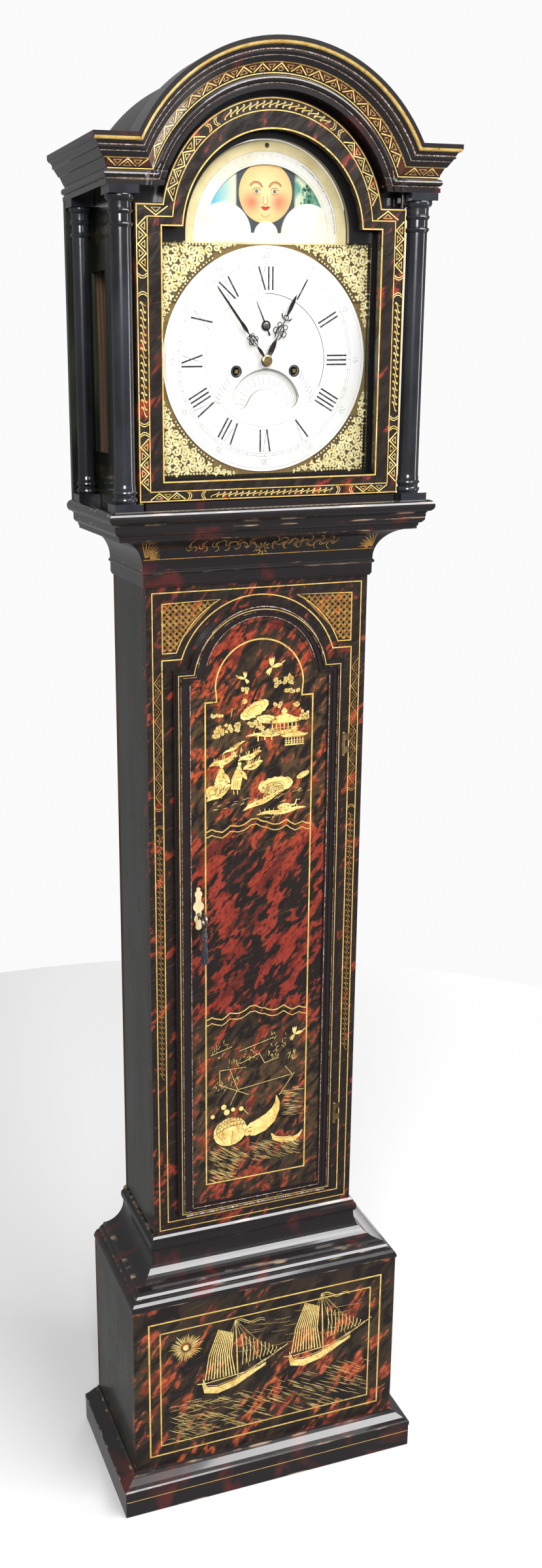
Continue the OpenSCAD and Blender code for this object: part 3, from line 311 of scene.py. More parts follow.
def mitred(paths, closed):
    """Normals of paths (strokes, points, 2): at each point the mean of the
    two segments' normals, lengthened so that a stroke keeps its width."""
    run = np.diff(paths, axis=1)
    run /= np.maximum(np.linalg.norm(run, axis=2, keepdims=True), 1e-9)
    side = np.stack([-run[..., 1], run[..., 0]], axis=2)
    before = np.concatenate([side[:, -1:] if closed else side[:, :1], side], axis=1)
    after = np.concatenate([side, side[:, :1] if closed else side[:, -1:]], axis=1)
    dot = np.sum(before * after, axis=2, keepdims=True)
    return (before + after) / np.maximum(1.0 + dot, 0.5)


class Strokes:
    """Strokes drawn on one face in millimetres, each with a width at every
    point, kept until they are all made into one mesh."""

    def __init__(self):
        self.groups = []

    def many(self, paths, width, closed=False):
        """Paths of equal length (strokes, points, 2), all open or all closed."""
        paths = np.asarray(paths, float)
        wide = np.broadcast_to(np.asarray(width, float), paths.shape[:2])
        self.groups.append((paths, mitred(paths, closed), wide))

    def line(self, points, width, closed=False):
        """One stroke through the points."""
        points = list(points) + ([points[0]] if closed else [])
        self.many([points], width, closed)

    def arc(self, x, z, r, start, end, width, count=33):
        """Part of a circle; angles in degrees from +X towards +Z."""
        turn = np.radians(np.linspace(start, end, count))
        self.many([np.stack([x + r * np.cos(turn), z + r * np.sin(turn)], 1)], width,
                  abs(end - start) >= 360)

    def leaves(self, x, z, length, angle, width, bend=0.0, count=7):
        """Leaf shapes: a stroke from (x, z) that swells by a half sine and
        bends by so many degrees. Any argument may be an array."""
        x, z, length, angle, width, bend = np.broadcast_arrays(
            *(np.atleast_1d(np.asarray(v, float)) for v in (x, z, length, angle, width, bend)))
        t = np.linspace(0, 1, count)
        turn = np.radians(angle[:, None] + bend[:, None] * t)
        step = length[:, None] / (count - 1)
        along = np.cumsum(np.stack([np.cos(turn), np.sin(turn)], 2) * step[..., None], axis=1)
        along -= along[:, :1]
        start = np.stack([x, z], 1)[:, None]
        self.many(start + along, np.maximum(width[:, None] * np.sin(pi * t) ** 0.8, 0.12))

    def rosette(self, x, z, inner, outer, petals, width):
        """Petals or rays round a centre, from inner to outer radius."""
        turn = np.linspace(0, 360, petals, endpoint=False)
        x0 = x + inner * np.cos(np.radians(turn))
        z0 = z + inner * np.sin(np.radians(turn))
        self.leaves(x0, z0, outer - inner, turn, width)

    def dot(self, x, z, r):
        """A round blob: a stroke as wide as a circle's chord."""
        t = np.linspace(-1, 1, 9)
        x, z, r = (np.atleast_1d(np.asarray(v, float)) for v in np.broadcast_arrays(x, z, r))
        path = np.stack([x[:, None] + r[:, None] * t, z[:, None] + 0 * t], 2)
        self.many(path, np.maximum(2 * r[:, None] * np.sqrt(1 - t ** 2), 0.1))

    def mesh(self, name, place, height, body, material, section=((-1, 0), (0, 1), (1, 0))):
        """Sweeps the section (share of half width, share of height) along
        every stroke; place turns (u, v, height) into the clock's frame. The
        faces are turned over if place mirrors, so that they point outwards."""
        points, faces, first = [], [], 0
        section = np.asarray(section, float)
        for paths, normals, wide in self.groups:
            s, n, k = paths.shape[0], paths.shape[1], len(section)
            flat = paths[:, :, None] + normals[:, :, None] * (wide[..., None, None] / 2) \
                * section[None, None, :, :1]
            up = np.broadcast_to(section[:, 1] * height, (s, n, k))
            points.append(np.concatenate([flat, up[..., None]], 3).reshape(-1, 3))
            index = first + np.arange(s * n * k).reshape(s, n, k)
            a, b = index[:, :-1, :-1], index[:, 1:, :-1]
            c, d = index[:, 1:, 1:], index[:, :-1, 1:]
            faces.append(np.stack([a, b, c, d], -1).reshape(-1, 4))
            first += s * n * k
        uvh = np.concatenate(points) / 1000
        xyz = np.stack(place(*uvh.T), 1)
        faces = np.concatenate(faces)
        steps = ((0, 0, 0), (0.001, 0, 0), (0, 0.001, 0), (0, 0, 0.001))
        here, along, across, out = (np.array(place(*(uvh[0] + step))) for step in steps)
        if np.cross(along - here, across - here) @ (out - here) < 0:
            faces = faces[:, ::-1]
        return surface(name, xyz, faces, body, material)


def surface(name, points, faces, body, material, smooth=False):
    """A mesh piece from arrays of points and of faces, riding on its body."""
    mesh = bpy.data.meshes.new(name)
    mesh.from_pydata(points, [], faces.tolist() if hasattr(faces, "tolist") else faces)
    mesh.polygons.foreach_set("use_smooth", [smooth] * len(mesh.polygons))
    mesh.materials.append(material)
    mesh.update()
    piece = bpy.data.objects.new(name, mesh)
    bpy.context.scene.collection.objects.link(piece)
    if body:
        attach(piece, body)
    return piece


def on_front(y):
    """Places strokes on a plane facing the front at depth y."""
    return lambda u, v, h: (u, y - 0.0001 - h, v)


def on_side(x):
    """Places strokes on a side face; u counts from front to back."""
    out = np.sign(x)
    return lambda u, v, h: (x + out * (0.0001 + h), u, v)


random = np.random.default_rng(8)
RELIEF = 0.00035

# ------------------------------------------------------------ gilding of base
# The base panel has two gilt frames round a harbour scene: a rayed sun, two
# sailing boats and a hatched sea. The plinth has one thin line all round.
base_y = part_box("base_front")[0][1]
plinth_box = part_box("plinth_moulding")
base_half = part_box("base_front")[1][0] * 1000
base_lines = Strokes()
for inset, low, high, wide in ((26, 85, 340, 2.6), (45, 103, 320, 2.2)):
    half = base_half - inset
    base_lines.line([(-half, low), (half, low), (half, high), (-half, high)], wide, True)
base_lines.mesh("base_gilt_frames", on_front(base_y), RELIEF, "case", line_gold)

harbour = Strokes()
harbour.dot(-143, 284, 5.5)
ray = np.arange(0, 360, 9.0)
ray_long = random.uniform(13, 24, len(ray))
harbour.leaves(-143 + 8 * np.cos(np.radians(ray)), 284 + 8 * np.sin(np.radians(ray)),
               ray_long, ray + random.uniform(-5, 5, len(ray)), 1.3)


def sailing_boat(art, x, z):
    """A hull with two wales, a mast, boom and bowsprit, a gaff sail of many
    fine cloths, a jib, rigging and a long streaming pennant."""
    hull = np.array([(-66, 2), (-60, -13), (-40, -17), (-10, -11), (20, 2), (46, 14)]) + (x, z)
    art.many([hull], [[3, 10, 13, 12, 8, 2]])
    for lift in (-3.0, 2.0, 6.0, 9.0):
        art.many([hull + (0, lift)], 0.9)
    art.line([(x - 76, z + 3), (x - 58, z + 1), (x + 8, z + 6)], 1.5)
    art.line([(x + 10, z + 2), (x + 85, z + 42)], 1.4)
    mast = np.array([(x - 4, z - 4), (x - 6, z + 60), (x - 9, z + 112)])
    art.line(mast, 1.4)
    share = np.linspace(0, 1, 11)[:, None]
    foot = np.array([x - 62.0, z + 7]) * (1 - share) + np.array([x - 9.0, z + 6]) * share
    head = np.array([x - 38.0, z + 100]) * (1 - share) + np.array([x - 13.0, z + 88]) * share
    middle = (foot + head) / 2 + (-5, 0)
    art.many(np.stack([foot, middle, head], 1), 1.8)
    jib = np.array([x + 2.0, z + 82]) * (1 - share) + np.array([x + 72.0, z + 38]) * share
    tack = np.array([x + 4.0, z + 22]) * (1 - share) + np.array([x + 66.0, z + 33]) * share
    art.many(np.stack([jib, (jib + tack) / 2 + (2, 0), tack], 1), 1.2)
    top = np.repeat(mast[-1:], 6, 0)
    deck = np.stack([np.linspace(x - 50, x + 60, 6), np.linspace(z + 1, z + 25, 6)], 1)
    art.many(np.stack([top, deck], 1), 0.45)
    t = np.linspace(0, 1, 12)
    flag = np.stack([x - 9 + 52 * t, z + 110 - 9 * t + 3 * np.sin(9 * t)], 1)
    art.many([flag], [1.6 * (1 - 0.7 * t)])
    art.many([flag - (0, 3.5)], 0.6)


sailing_boat(harbour, -48, 204)
sailing_boat(harbour, 106, 218)
wave_x = random.uniform(-178, 172, 230)
wave_z = random.uniform(108, 190, 230)
keep = wave_z < 182 + 0.06 * wave_x
harbour.leaves(wave_x[keep], wave_z[keep], 24, -33.0, 0.55, 6.0, 4)
ripple_x = random.uniform(-180, -60, 70)
harbour.leaves(ripple_x, random.uniform(106, 178, 70), 18, 6.0, 0.6, -10.0, 5)
sky_x = random.uniform(-60, 150, 26)
harbour.leaves(sky_x, random.uniform(250, 316, 26), 30, -12.0, 0.4, 14.0, 5)
harbour.mesh("base_gilt_harbour", on_front(base_y), RELIEF, "case", picture_gold)

plinth_lines = Strokes()
plinth_half = plinth_box[1][0] * 1000 - 2
plinth_lines.line([(-plinth_half, 29), (plinth_half, 29)], 1.0)
plinth_lines.mesh("plinth_gilt_line", on_front(plinth_box[0][1] + 0.001), 0.0002, "case", line_gold)
for side, body_x in (("left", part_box("base_side_left")[0][0]), ("right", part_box("base_side_right")[1][0])):
    side_art = Strokes()
    back, front = plinth_box[1][1] * 1000 - 22, base_y * 1000 + 26
    side_art.line([(front, 95), (back, 95), (back, 335), (front, 335)], 1.4, True)
    for leaf_z in (150, 215, 280):
        turn = random.uniform(0, 360, 12)
        side_art.leaves(random.uniform(front + 30, back - 40, 12), leaf_z + random.uniform(-25, 25, 12),
                        26, turn, 2.4, 110.0, 9)
    side_art.mesh(f"base_side_gilding_{side}", on_side(body_x), 0.0002, "case", faint_gold)

# ----------------------------------------------------------- gilding of trunk
# Two gilt lines run round the trunk front, the inner one stepping up over the
# door's arch. A patterned band fills the space between; lattices fill corners.
trunk_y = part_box("trunk_front_frame")[0][1]
DOOR_ARCH_Z = 1372.0


def arched_path(half, low, shoulder, r, centre, count=49):
    """Round a rectangle with an arch on top, starting at its lower left."""
    spring = np.sqrt(max(r ** 2 - (shoulder - centre) ** 2, 0.0))
    end = np.arctan2(shoulder - centre, spring)
    turn = np.linspace(pi - end, end, count)
    arch = np.stack([r * np.cos(turn), centre + r * np.sin(turn)], 1)
    return [(-half, low), (-half, shoulder), *arch, (half, shoulder), (half, low)]


def straight(start, end):
    """Turns (s along, t across) into a strip from start to end."""
    start, end = np.array(start, float), np.array(end, float)
    way = (end - start) / np.linalg.norm(end - start)
    side = np.array([-way[1], way[0]])
    return (lambda s, t: start + np.asarray(s)[..., None] * way + np.asarray(t)[..., None] * side,
            np.linalg.norm(end - start))


def curved(centre, r, start, end):
    """Turns (s, t) into a strip along a circle, from start to end degrees."""
    a, b = radians(start), radians(end)
    sense = np.sign(b - a)

    def at(s, t):
        turn = a + sense * np.asarray(s) / r
        out = r - sense * np.asarray(t)
        return np.stack([centre[0] + out * np.cos(turn), centre[1] + out * np.sin(turn)], -1)
    return at, abs(b - a) * r


def triangles(art, strip, width, pitch=28.0, wide=1.2):
    """A zigzag across the band with a small triangle in every tooth."""
    at, length = strip
    teeth = max(int(round(length / pitch)), 1)
    s = np.linspace(0, length, 2 * teeth + 1)
    sign = np.where(np.arange(len(s)) % 2, 1.0, -1.0)
    art.many([at(s, sign * width / 2)], wide)
    middle, sign = s[1:-1], sign[1:-1]
    step = length / teeth
    before, after = (at(middle + share * step, -sign * width * 0.34) for share in (-0.2, 0.2))
    art.many(np.stack([before, at(middle, sign * width * 0.14), after, before], 1), wide * 0.6, True)


def rope(art, strip, width, pitch=8.5, wide=1.1):
    """Leaning S strokes laid close, like the strands of a rope."""
    at, length = strip
    s = np.arange(pitch, length - pitch / 2, pitch)[:, None]
    t = np.linspace(-1, 1, 7)
    swing = 0.55 * pitch * (t + 0.6 * np.sin(pi * t))
    art.many(at(s + swing, np.broadcast_to(t * width * 0.42, (len(s), 7))), wide)
    art.many(at(s + swing * 0.4 + 0.5 * pitch, np.broadcast_to(t * width * 0.42, (len(s), 7))), wide * 0.5)


def medallion(art, strip, width, wide=1.0):
    """A plain panel closed by a pair of bowed lines at each end."""
    at, length = strip
    t = np.linspace(-1, 1, 9)
    for s, bow in ((0, 3.2), (3.0, 3.2), (length - 3.0, -3.2), (length, -3.2)):
        art.many([at(s + bow * (1 - t ** 2), t * width / 2)], wide)


trunk_lines = Strokes()
trunk_lines.line([(-164, 466), (164, 466), (164, 1508), (-164, 1508)], 1.5, True)
trunk_lines.line(arched_path(150, 479.5, 1410, 125.8, DOOR_ARCH_Z), 1.7, True)
for side in (-1, 1):
    turn = np.radians(np.linspace(64, 21, 12))
    curve = np.stack([side * 137 * np.cos(turn), DOOR_ARCH_Z - 1 + 137 * np.sin(turn)], 1)
    trunk_lines.line([(side * 149, 1492), *curve, (side * 149, curve[-1][1])], 1.5, True)
trunk_lines.mesh("trunk_gilt_lines", on_front(trunk_y), RELIEF, "case", line_gold)
trunk_bands = Strokes()
for side in (-1, 1):
    triangles(trunk_bands, straight((side * 157, 1191), (side * 157, 1392)), 10, 28, 1.0)
    rope(trunk_bands, straight((side * 157, 735), (side * 157, 1152)), 10, 9.0, 0.65)
    medallion(trunk_bands, straight((side * 157, 1154), (side * 157, 1189)), 12, 0.9)
    u = np.linspace(68, 149, 60)
    for slope in (-1, 1):
        for shift in np.arange(-200, 200, 9.5):
            z = 1492 - 40 + slope * (u - 108) + shift
            inside = (z < 1491) & (z > DOOR_ARCH_Z + 50) & (np.hypot(u, z - DOOR_ARCH_Z + 1) > 137.5)
            if inside.sum() > 1:
                ends = np.stack([side * u[inside], z[inside]], 1)[[0, -1]]
                trunk_bands.line(ends, 0.9)
                trunk_bands.line(ends + (0, 2.2), 0.5)
    cross_u, cross_z = np.meshgrid(np.arange(72, 149, 9.5), np.arange(1425, 1490, 9.5))
    keep = np.hypot(cross_u, cross_z - DOOR_ARCH_Z) > 140
    for turn in (0, 90, 180, 270):
        trunk_bands.leaves(side * cross_u[keep], cross_z[keep], 3.2, turn, 1.5, 0, 5)
trunk_bands.mesh("trunk_gilt_bands", on_front(trunk_y), 0.00025, "case", band_gold)
for side, x in (("left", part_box("trunk_side_left")[0][0]), ("right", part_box("trunk_side_right")[1][0])):
    side_art = Strokes()
    low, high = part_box("trunk_side_left")[0][1] * 1000 - 6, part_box("backboard")[1][1] * 1000 - 12
    side_art.line([(low, 475), (high, 475), (high, 1500), (low, 1500)], 1.2, True)
    for leaf_z in np.arange(560, 1480, 115):
        side_art.leaves(random.uniform(low + 20, high - 30, 10), leaf_z + random.uniform(-45, 45, 10),
                        24, random.uniform(0, 360, 10), 2.2, 120.0, 9)
    side_art.mesh(f"trunk_side_gilding_{side}", on_side(x), 0.0002, "case", faint_gold)

# ------------------------------------------------------------ gilding of door
# The door's board is framed in gilt, with wavy cross lines that part it into
# three: a landscape with birds and pavilions, plain shell, and ships at sea.
door_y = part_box("escutcheon")[1][1]
door_lines = Strokes()
door_lines.line([(-86, 540), (-86, 1343.5), (-68, 1343.5), (-69, 1357),
                 *arched_path(70, 0, 1364, 70, 1363)[2:-2], (69, 1357), (68, 1343.5), (86, 1343.5),
                 (86, 540)], 2.2, True)
wavy = np.array([(-86, 1143), (-76, 1150), (-60, 1141), (-46, 1153), (-36, 1148), (-3, 1160),
                 (10, 1151), (36, 1145), (46, 1153), (61, 1140), (72, 1147), (86, 1139)])
cusps = np.interp(np.linspace(-86, 86, 89), wavy[:, 0], wavy[:, 1])
scallop = 3.0 * np.abs(np.sin(np.linspace(0, 7 * pi, 89)))
for drop, wide in ((0, 1.8), (-9, 1.4), (-311, 1.8), (-321, 1.5)):
    door_lines.line(np.stack([np.linspace(-86, 86, 89), cusps - scallop + drop], 1), wide)
door_lines.mesh("door_gilt_lines", on_front(door_y), RELIEF, "trunk_door_leaf", line_gold)

landscape, ink = Strokes(), Strokes()


def flying_bird(art, x, z, size, turn=1):
    """A body, a neck and two spread wings of three long feathers each."""
    art.leaves(x, z, size, 25 if turn > 0 else 155, size * 0.36, -20 * turn)
    for spread in (0, 14, 28):
        art.leaves(x, z, size * 0.95, (95 if turn > 0 else 85) + turn * spread, size * 0.2, -30 * turn)
        art.leaves(x, z, size * 0.8, (200 if turn > 0 else -20) + turn * spread, size * 0.18, 30 * turn)
    art.leaves(x + turn * size * 0.8, z + size * 0.3, size * 0.5, 30 if turn > 0 else 150, size * 0.1)


def blob(art, x, z, long, high, turn, bite=0.08):
    """A rounded mass: a stroke as wide as an ellipse's chord, its edge broken
    by a small wave; inked contours follow it inside."""
    t = np.linspace(-1, 1, 25)
    c, s = np.cos(radians(turn)), np.sin(radians(turn))
    rough = 1 + bite * np.sin(t * 17 + x)
    art.many([np.stack([x + long / 2 * t * c, z + long / 2 * t * s], 1)],
             [np.maximum(high * np.sqrt(1 - t ** 2) * rough, 0.2)])
    for share, lift in ((0.78, 0.12), (0.5, -0.02)):
        spin = np.linspace(-0.6, 4.0, 19)
        u, v = long / 2 * share * np.cos(spin), high / 2 * share * np.sin(spin) + lift * high
        ink.line(np.stack([x + u * c - v * s, z + u * s + v * c], 1), 0.5)


def bank(art, x0, z0, x1, z1, high):
    """A strip of ground that tapers to its ends, tufted along its top."""
    t = np.linspace(0, 1, 15)
    art.many([np.stack([x0 + (x1 - x0) * t, z0 + (z1 - z0) * t + 1.5 * np.sin(t * 9)], 1)],
             [np.maximum(high * np.sin(pi * t) ** 0.6, 0.3)])
    k = random.uniform(0.08, 0.92, 14)
    x, z = x0 + (x1 - x0) * k, z0 + (z1 - z0) * k
    art.leaves(x, z + high * 0.3, high * 0.9, random.uniform(50, 120, 14), 0.9)
    ink.leaves(x, z, high * 0.7, random.uniform(-20, 30, 14), 0.5)


def blossoms(art, x, z, wide, high, count):
    """A loose cloud of five-petalled flowers and little leaves."""
    cx, cz = x + random.uniform(-0.5, 0.5, count) * wide, z + random.uniform(-0.5, 0.5, count) * high
    for turn in range(0, 360, 72):
        art.dot(cx + 1.6 * np.cos(radians(turn)), cz + 1.6 * np.sin(radians(turn)), 1.15)
    ink.dot(cx, cz, 0.5)
    art.leaves(cx, cz, 4.5, random.uniform(0, 360, count), 0.9)


def pavilion(art, x, z, size):
    """A swept roof with a round finial over posts, rails and a deck."""
    half = size / 2
    t = np.linspace(-1, 1, 17)
    top = z + size * 0.26 * (1 - np.abs(t)) ** 0.8 + size * 0.12 * np.abs(t) ** 4
    foot = z + size * 0.10 * t ** 4
    art.many([np.stack([x + half * t, (top + foot) / 2], 1)], [np.maximum(top - foot, 0.5)])
    art.dot([x, x - 2, x + 2], [z + size * 0.34, z + size * 0.30, z + size * 0.30], size * 0.045)
    ink.line(np.stack([x + half * 0.85 * t, z + 1.0 + 0 * t], 1), 0.5)
    posts = np.linspace(x - half * 0.62, x + half * 0.62, 7)
    head, foot = (np.stack([posts, 0 * posts + z - drop], 1) for drop in (0, size * 0.24))
    art.many(np.stack([head, foot], 1), 1.4)
    for drop, wide in ((0.10, 0.8), (0.17, 0.9), (0.25, 2.0)):
        art.line([(x - half * 0.72, z - size * drop), (x + half * 0.72, z - size * drop)], wide)


def robed_figure(art, x, z, size, lean):
    """A small robed figure: hem, two sleeves, a sash and a plain round head."""
    robe = np.array([(0, 0), (0.4 * lean, 0.35 * size), (lean, 0.6 * size), (1.2 * lean, 0.82 * size)])
    art.many([robe + (x, z)], [[size * 0.34, size * 0.38, size * 0.30, size * 0.12]])
    art.dot(x + lean * 1.3, z + size * 0.90, size * 0.07)
    art.leaves(x + lean, z + size * 0.7, size * 0.5, -40 if lean > 0 else 215, size * 0.16, -20)
    art.leaves(x + np.array([-3.0, 3.0]), z, size * 0.2, -85, 1.6)
    ink.line([(x + lean - 4, z + size * 0.42), (x + lean + 4, z + size * 0.45)], 0.6)
    ink.leaves(x + np.array([-3.0, 0.0, 3.0]), z + size * 0.05, size * 0.3, 85, 0.5)


flying_bird(landscape, 20, 1389, 17)
flying_bird(landscape, -24, 1375, 12, -1)
for tree in ((-23, 1357, 9, 7, 5), (27, 1366, 11, 14, 9), (45, 1370, 14, 16, 14), (52, 1353, 22, 6, 9),
             (30, 1331, 14, 6, 6), (60, 1330, 10, 5, 4), (72, 1312, 13, 14, 13), (-64, 1297, 18, 16, 16),
             (-42, 1303, 26, 12, 16), (-6, 1300, 24, 18, 18), (-67, 1322, 20, 4, 6), (14, 1290, 18, 8, 10)):
    blossoms(landscape, *tree)
landscape.leaves([-46, -30], [1318, 1333], 16, [70.0, 60.0], 0.9, 20)
for mass in ((-8, 1327, 50, 21, 27), (12, 1311, 34, 13, -8), (-24, 1341, 9, 8, 10)):
    blob(landscape, *mass)
pavilion(landscape, 40, 1302, 62)
pavilion(landscape, 57, 1279, 44)
bank(landscape, -22, 1287, 58, 1288, 6)
for pile, foot in ((-2, 1278), (9, 1279), (20, 1278)):
    landscape.line([(pile, 1288), (pile, foot)], 2.2)
for ground in ((-60, 1262, -22, 1280, 4), (-80, 1246, -34, 1258, 9), (-34, 1250, 4, 1262, 8),
               (-26, 1236, 6, 1246, 10)):
    bank(landscape, *ground)
landscape.leaves([-38, -30], [1256, 1262], 10, [95.0, 80.0], 1.6)
robed_figure(landscape, -64, 1203, 46, 3)
robed_figure(landscape, -38, 1206, 44, 5)
blob(landscape, -76, 1206, 20, 20, 40)
bank(landscape, -84, 1192, -44, 1214, 12)
for mass in ((27, 1207, 58, 25, 4), (22, 1203, 40, 15, 4), (72, 1219, 22, 9, 22)):
    blob(landscape, *mass)
bank(landscape, -26, 1171, 44, 1200, 9)
bank(landscape, -4, 1162, 78, 1166, 7)
blob(landscape, 43, 1171, 24, 11, 0)
landscape.line([(53, 1172), (60, 1173), (62, 1180), (68, 1180)], np.array([[3.0, 2.0, 1.8, 0.8]]))
for x, z in ((-30, 1185), (20, 1184), (60, 1195), (-60, 1182), (10, 1155)):
    landscape.leaves(x + random.uniform(-20, 20, 8), z + random.uniform(-6, 6, 8), 8,
                     random.uniform(0, 40, 8), 0.6)
landscape.mesh("door_gilt_landscape", on_front(door_y), RELIEF, "trunk_door_leaf", picture_gold)

seascape = Strokes()
flying_bird(seascape, 66, 784, 15)
blob(seascape, -45, 629, 58, 50, 12, 0.01)
for lift, half in ((0, 27), (7.5, 25), (13, 23)):
    t = np.linspace(-1, 1, 15)
    ink.line(np.stack([-45 + half * t, 632 + lift + 6 * t + 6 * (1 - t ** 2)], 1), 0.9)
    knots = np.linspace(-0.85, 0.85, 9)
    ink.leaves(-45 + half * knots, 633 + lift + 6 * knots + 6 * (1 - knots ** 2), 3.4, 85, 1.3)
ink.line([(-42, 606), (-41, 630)], 0.6)
seascape.dot([-75, -56, -51, -40, -26], [661, 675, 665, 668, 667], [3.6, 4.6, 5.2, 3.6, 4.0])
seascape.many([[(-20, 622), (-6, 626), (11, 632), (25, 642), (34, 656), (37, 668), (35, 680)]],
              [[12, 26, 27, 22, 14, 8, 1]])
ink.line([(-8, 639), (6, 645), (18, 654), (28, 668)], 0.7)
ink.leaves([-14, -14, -13], [616, 623, 630], 6, 5, 1.6)
seascape.line([(27, 612), (32, 603), (45, 597), (66, 595), (76, 600), (82, 609)],
              np.array([[2, 7, 10, 9, 5, 1.0]]))
ink.line([(33, 603), (46, 600), (66, 599), (76, 604)], 0.5)
YARDS_AND_SPARS = (((-63, 741), (-18, 740)), ((-28, 748), (4, 760)), ((13, 742), (38, 748)),
                   ((-64, 716), (-13, 690)), ((-32, 702), (62, 714)), ((-63, 741), (-63, 716)),
                   ((-45, 677), (-34, 700)), ((-26, 670), (-14, 655)), ((66, 716), (40, 680)),
                   ((-30, 770), (30, 785)), ((-78, 770), (-42, 780)), ((-46, 741), (-32, 702)),
                   ((4, 762), (14, 742)), ((62, 714), (50, 730)))
for ends in YARDS_AND_SPARS:
    seascape.line(ends, 0.8)
for x, z, spread in ((-38, 748, 16), (-12, 760, 22), (28, 752, 16), (-40, 715, 22), (-66, 712, 18),
                     (40, 776, 26), (-62, 774, 26), (60, 745, 14)):
    seascape.leaves(x + random.uniform(-0.6, 0.6, 14) * spread, z + random.uniform(-0.5, 0.5, 14) * spread,
                    random.uniform(3, 9, 14), random.uniform(20, 120, 14), 0.7, random.uniform(-60, 60, 14))
sea_x, sea_z = random.uniform(-84, -40, 90), random.uniform(548, 606, 90)
seascape.leaves(sea_x, sea_z, 16, random.uniform(-42, -34, 90), 0.6, 6, 4)
sea_x, sea_z = random.uniform(-40, 66, 90), random.uniform(572, 604, 90)
seascape.leaves(sea_x, sea_z, 18, random.uniform(-36, -28, 90), 0.5, 6, 4)
seascape.leaves(random.uniform(42, 72, 60), random.uniform(640, 690, 60), 13, -10, 0.5, 6, 4)
seascape.mesh("door_gilt_seascape", on_front(door_y), 0.0003, "trunk_door_leaf", picture_gold)


def flat_paint(name, scale, first, second, rough=0.5):
    """Paint that drifts softly between two tones."""
    paint = Finish(name, Roughness=rough)
    paint.give("Base Color", paint.blend(paint.cloud(scale), first, second))
    return paint.material


sepia = flat_paint("sepia_ink", 200.0, (0.20, 0.075, 0.015), (0.10, 0.035, 0.01))
ink.mesh("door_ink_lines", on_front(door_y - RELIEF * 0.9), 0.00012, "trunk_door_leaf", sepia)

# The arrises of the door's moulding are rubbed pale by hands and dusting,
# beside a thin gilt line; the pale arris line is also a painted highlight. The
# pale lines on the lip are painted highlights.
# Pale arris line: part wear, part painted highlight.
rubbed_and_highlit = Finish("rubbed_and_highlit_arris", Roughness=0.35, Coat_Weight=0.5)
spots = rubbed_and_highlit.cloud(95.0, 6.0)
rubbed_and_highlit.give("Base Color", rubbed_and_highlit.blend(rubbed_and_highlit.step(spots, 0.5, 0.66), MOULD_BLACK, (0.40, 0.28, 0.17)))
lip_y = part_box("trunk_door")[0][1]
for name, grow, wide, paint in (("door_edge_gilt_line", 4.6, 1.1, line_gold),
                                ("door_worn_and_highlit_arris", 1.0, 0.8, rubbed_and_highlit.material)):
    arris = Strokes()
    arris.line(arched_path(124 + grow, 500 - grow, 1383 + grow, 101 + grow, DOOR_ARCH_Z), wide, True)
    arris.mesh(name, on_front(lip_y), 0.00012, "trunk_door_leaf", paint)
door_low, door_high = (corner[2] * 1000 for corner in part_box("trunk_door"))
# Pale lines along the lip and the arch of the door's moulding are painted highlights.
lip_highlight_strokes = Strokes()
lip_highlight_strokes.line([(-122, door_low + 3), (122, door_low + 3)], 2.6)
lip_highlight_strokes.line([(-110, door_low + 14.5), (110, door_low + 14.5)], 1.4)
for side in (-1, 1):
    lip_highlight_strokes.line([(side * 125, door_low + 8), (side * 125, door_high - 112)], 1.1)
    lip_highlight_strokes.line([(side * 111, door_low + 16), (side * 111, door_high - 112)], 0.8)
for r, wide in ((102.5, 1.3), (88.0, 0.8)):
    lip_highlight_strokes.arc(0, door_high - 105, r, 14, 166, wide, 60)
lip_highlight_paint = gilt("painted_lip_highlight", (0.60, 0.54, 0.52), (0.14, 0.07, 0.05), 0.48, 0.0)
lip_highlight_strokes.mesh("door_lip_painted_highlights", on_front(lip_y), 0.0001, "trunk_door_leaf", lip_highlight_paint)

# ------------------------------------------------------------- gilding of throat
# The cove under the hood carries gilt scrolls about a shell, and a thin line
# follows its foot on all three sides.
throat_mid = throat_low * 1000 + 26
throat_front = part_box("trunk_front_frame")[0][1]


def on_throat(u, v, h):
    """The cove: a quarter circle of radius 45 whose centre stands 50 out."""
    rise = np.clip(v * 1000 - throat_mid, 0, 44.9)
    out = 50 - np.sqrt(45 ** 2 - rise ** 2)
    return u, throat_front - out / 1000 - 0.0002 - h, v


throat_art = Strokes()
throat_art.line([(-178, 1557), (178, 1557)], 1.1)
throat_art.rosette(0, 1566, 4, 11, 9, 1.8)
throat_art.arc(0, 1565, 4, 0, 360, 0.9)
for side in (-1, 1):
    scroll_x = side * np.array([20, 36, 53, 71, 90, 108])
    for spin, long in ((0, 22), (120, 15), (240, 14), (60, 11)):
        throat_art.leaves(scroll_x, 1573, long, 40 + spin + 25 * np.arange(6), 1.4, side * 190.0, 13)
    fan = np.arange(15, 100, 14)
    throat_art.leaves(side * 176, 1560, 24, fan if side < 0 else 180 - fan, 1.8, 25)
    throat_art.leaves(side * 168, 1558, 16, fan if side < 0 else 180 - fan, 1.2, -30)
throat_art.mesh("throat_gilding", on_throat, 0.0003, "case", band_gold)

# ---------------------------------------------------------------- cornice bands
# The cornice's upper fillets are gilt, and its slanting flat carries a zigzag
# of little triangles that follows the arch. Pale lines along its ridges are
# painted highlights.
CORNICE_UP = np.array([0, 6, 6.5, 12.5, 17, 19.5, 31, 31.5, 41, 41.5, 44, 51, 53, 60])
CORNICE_OUT = np.array([0, 0, -2.2, 2.3, -2.2, -2.5, 3.5, 5.5, 12, 14, 14, 19.5, 21, 21])
cornice_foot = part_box("front_columns")[1][2] * 1000
arch_centre = cornice_foot - 47
arch_foot = 166.0
cornice_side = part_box("hood_cornice")[1][0] * 1000 - 21
cornice_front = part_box("hood_cornice")[0][1] * 1000 + 21


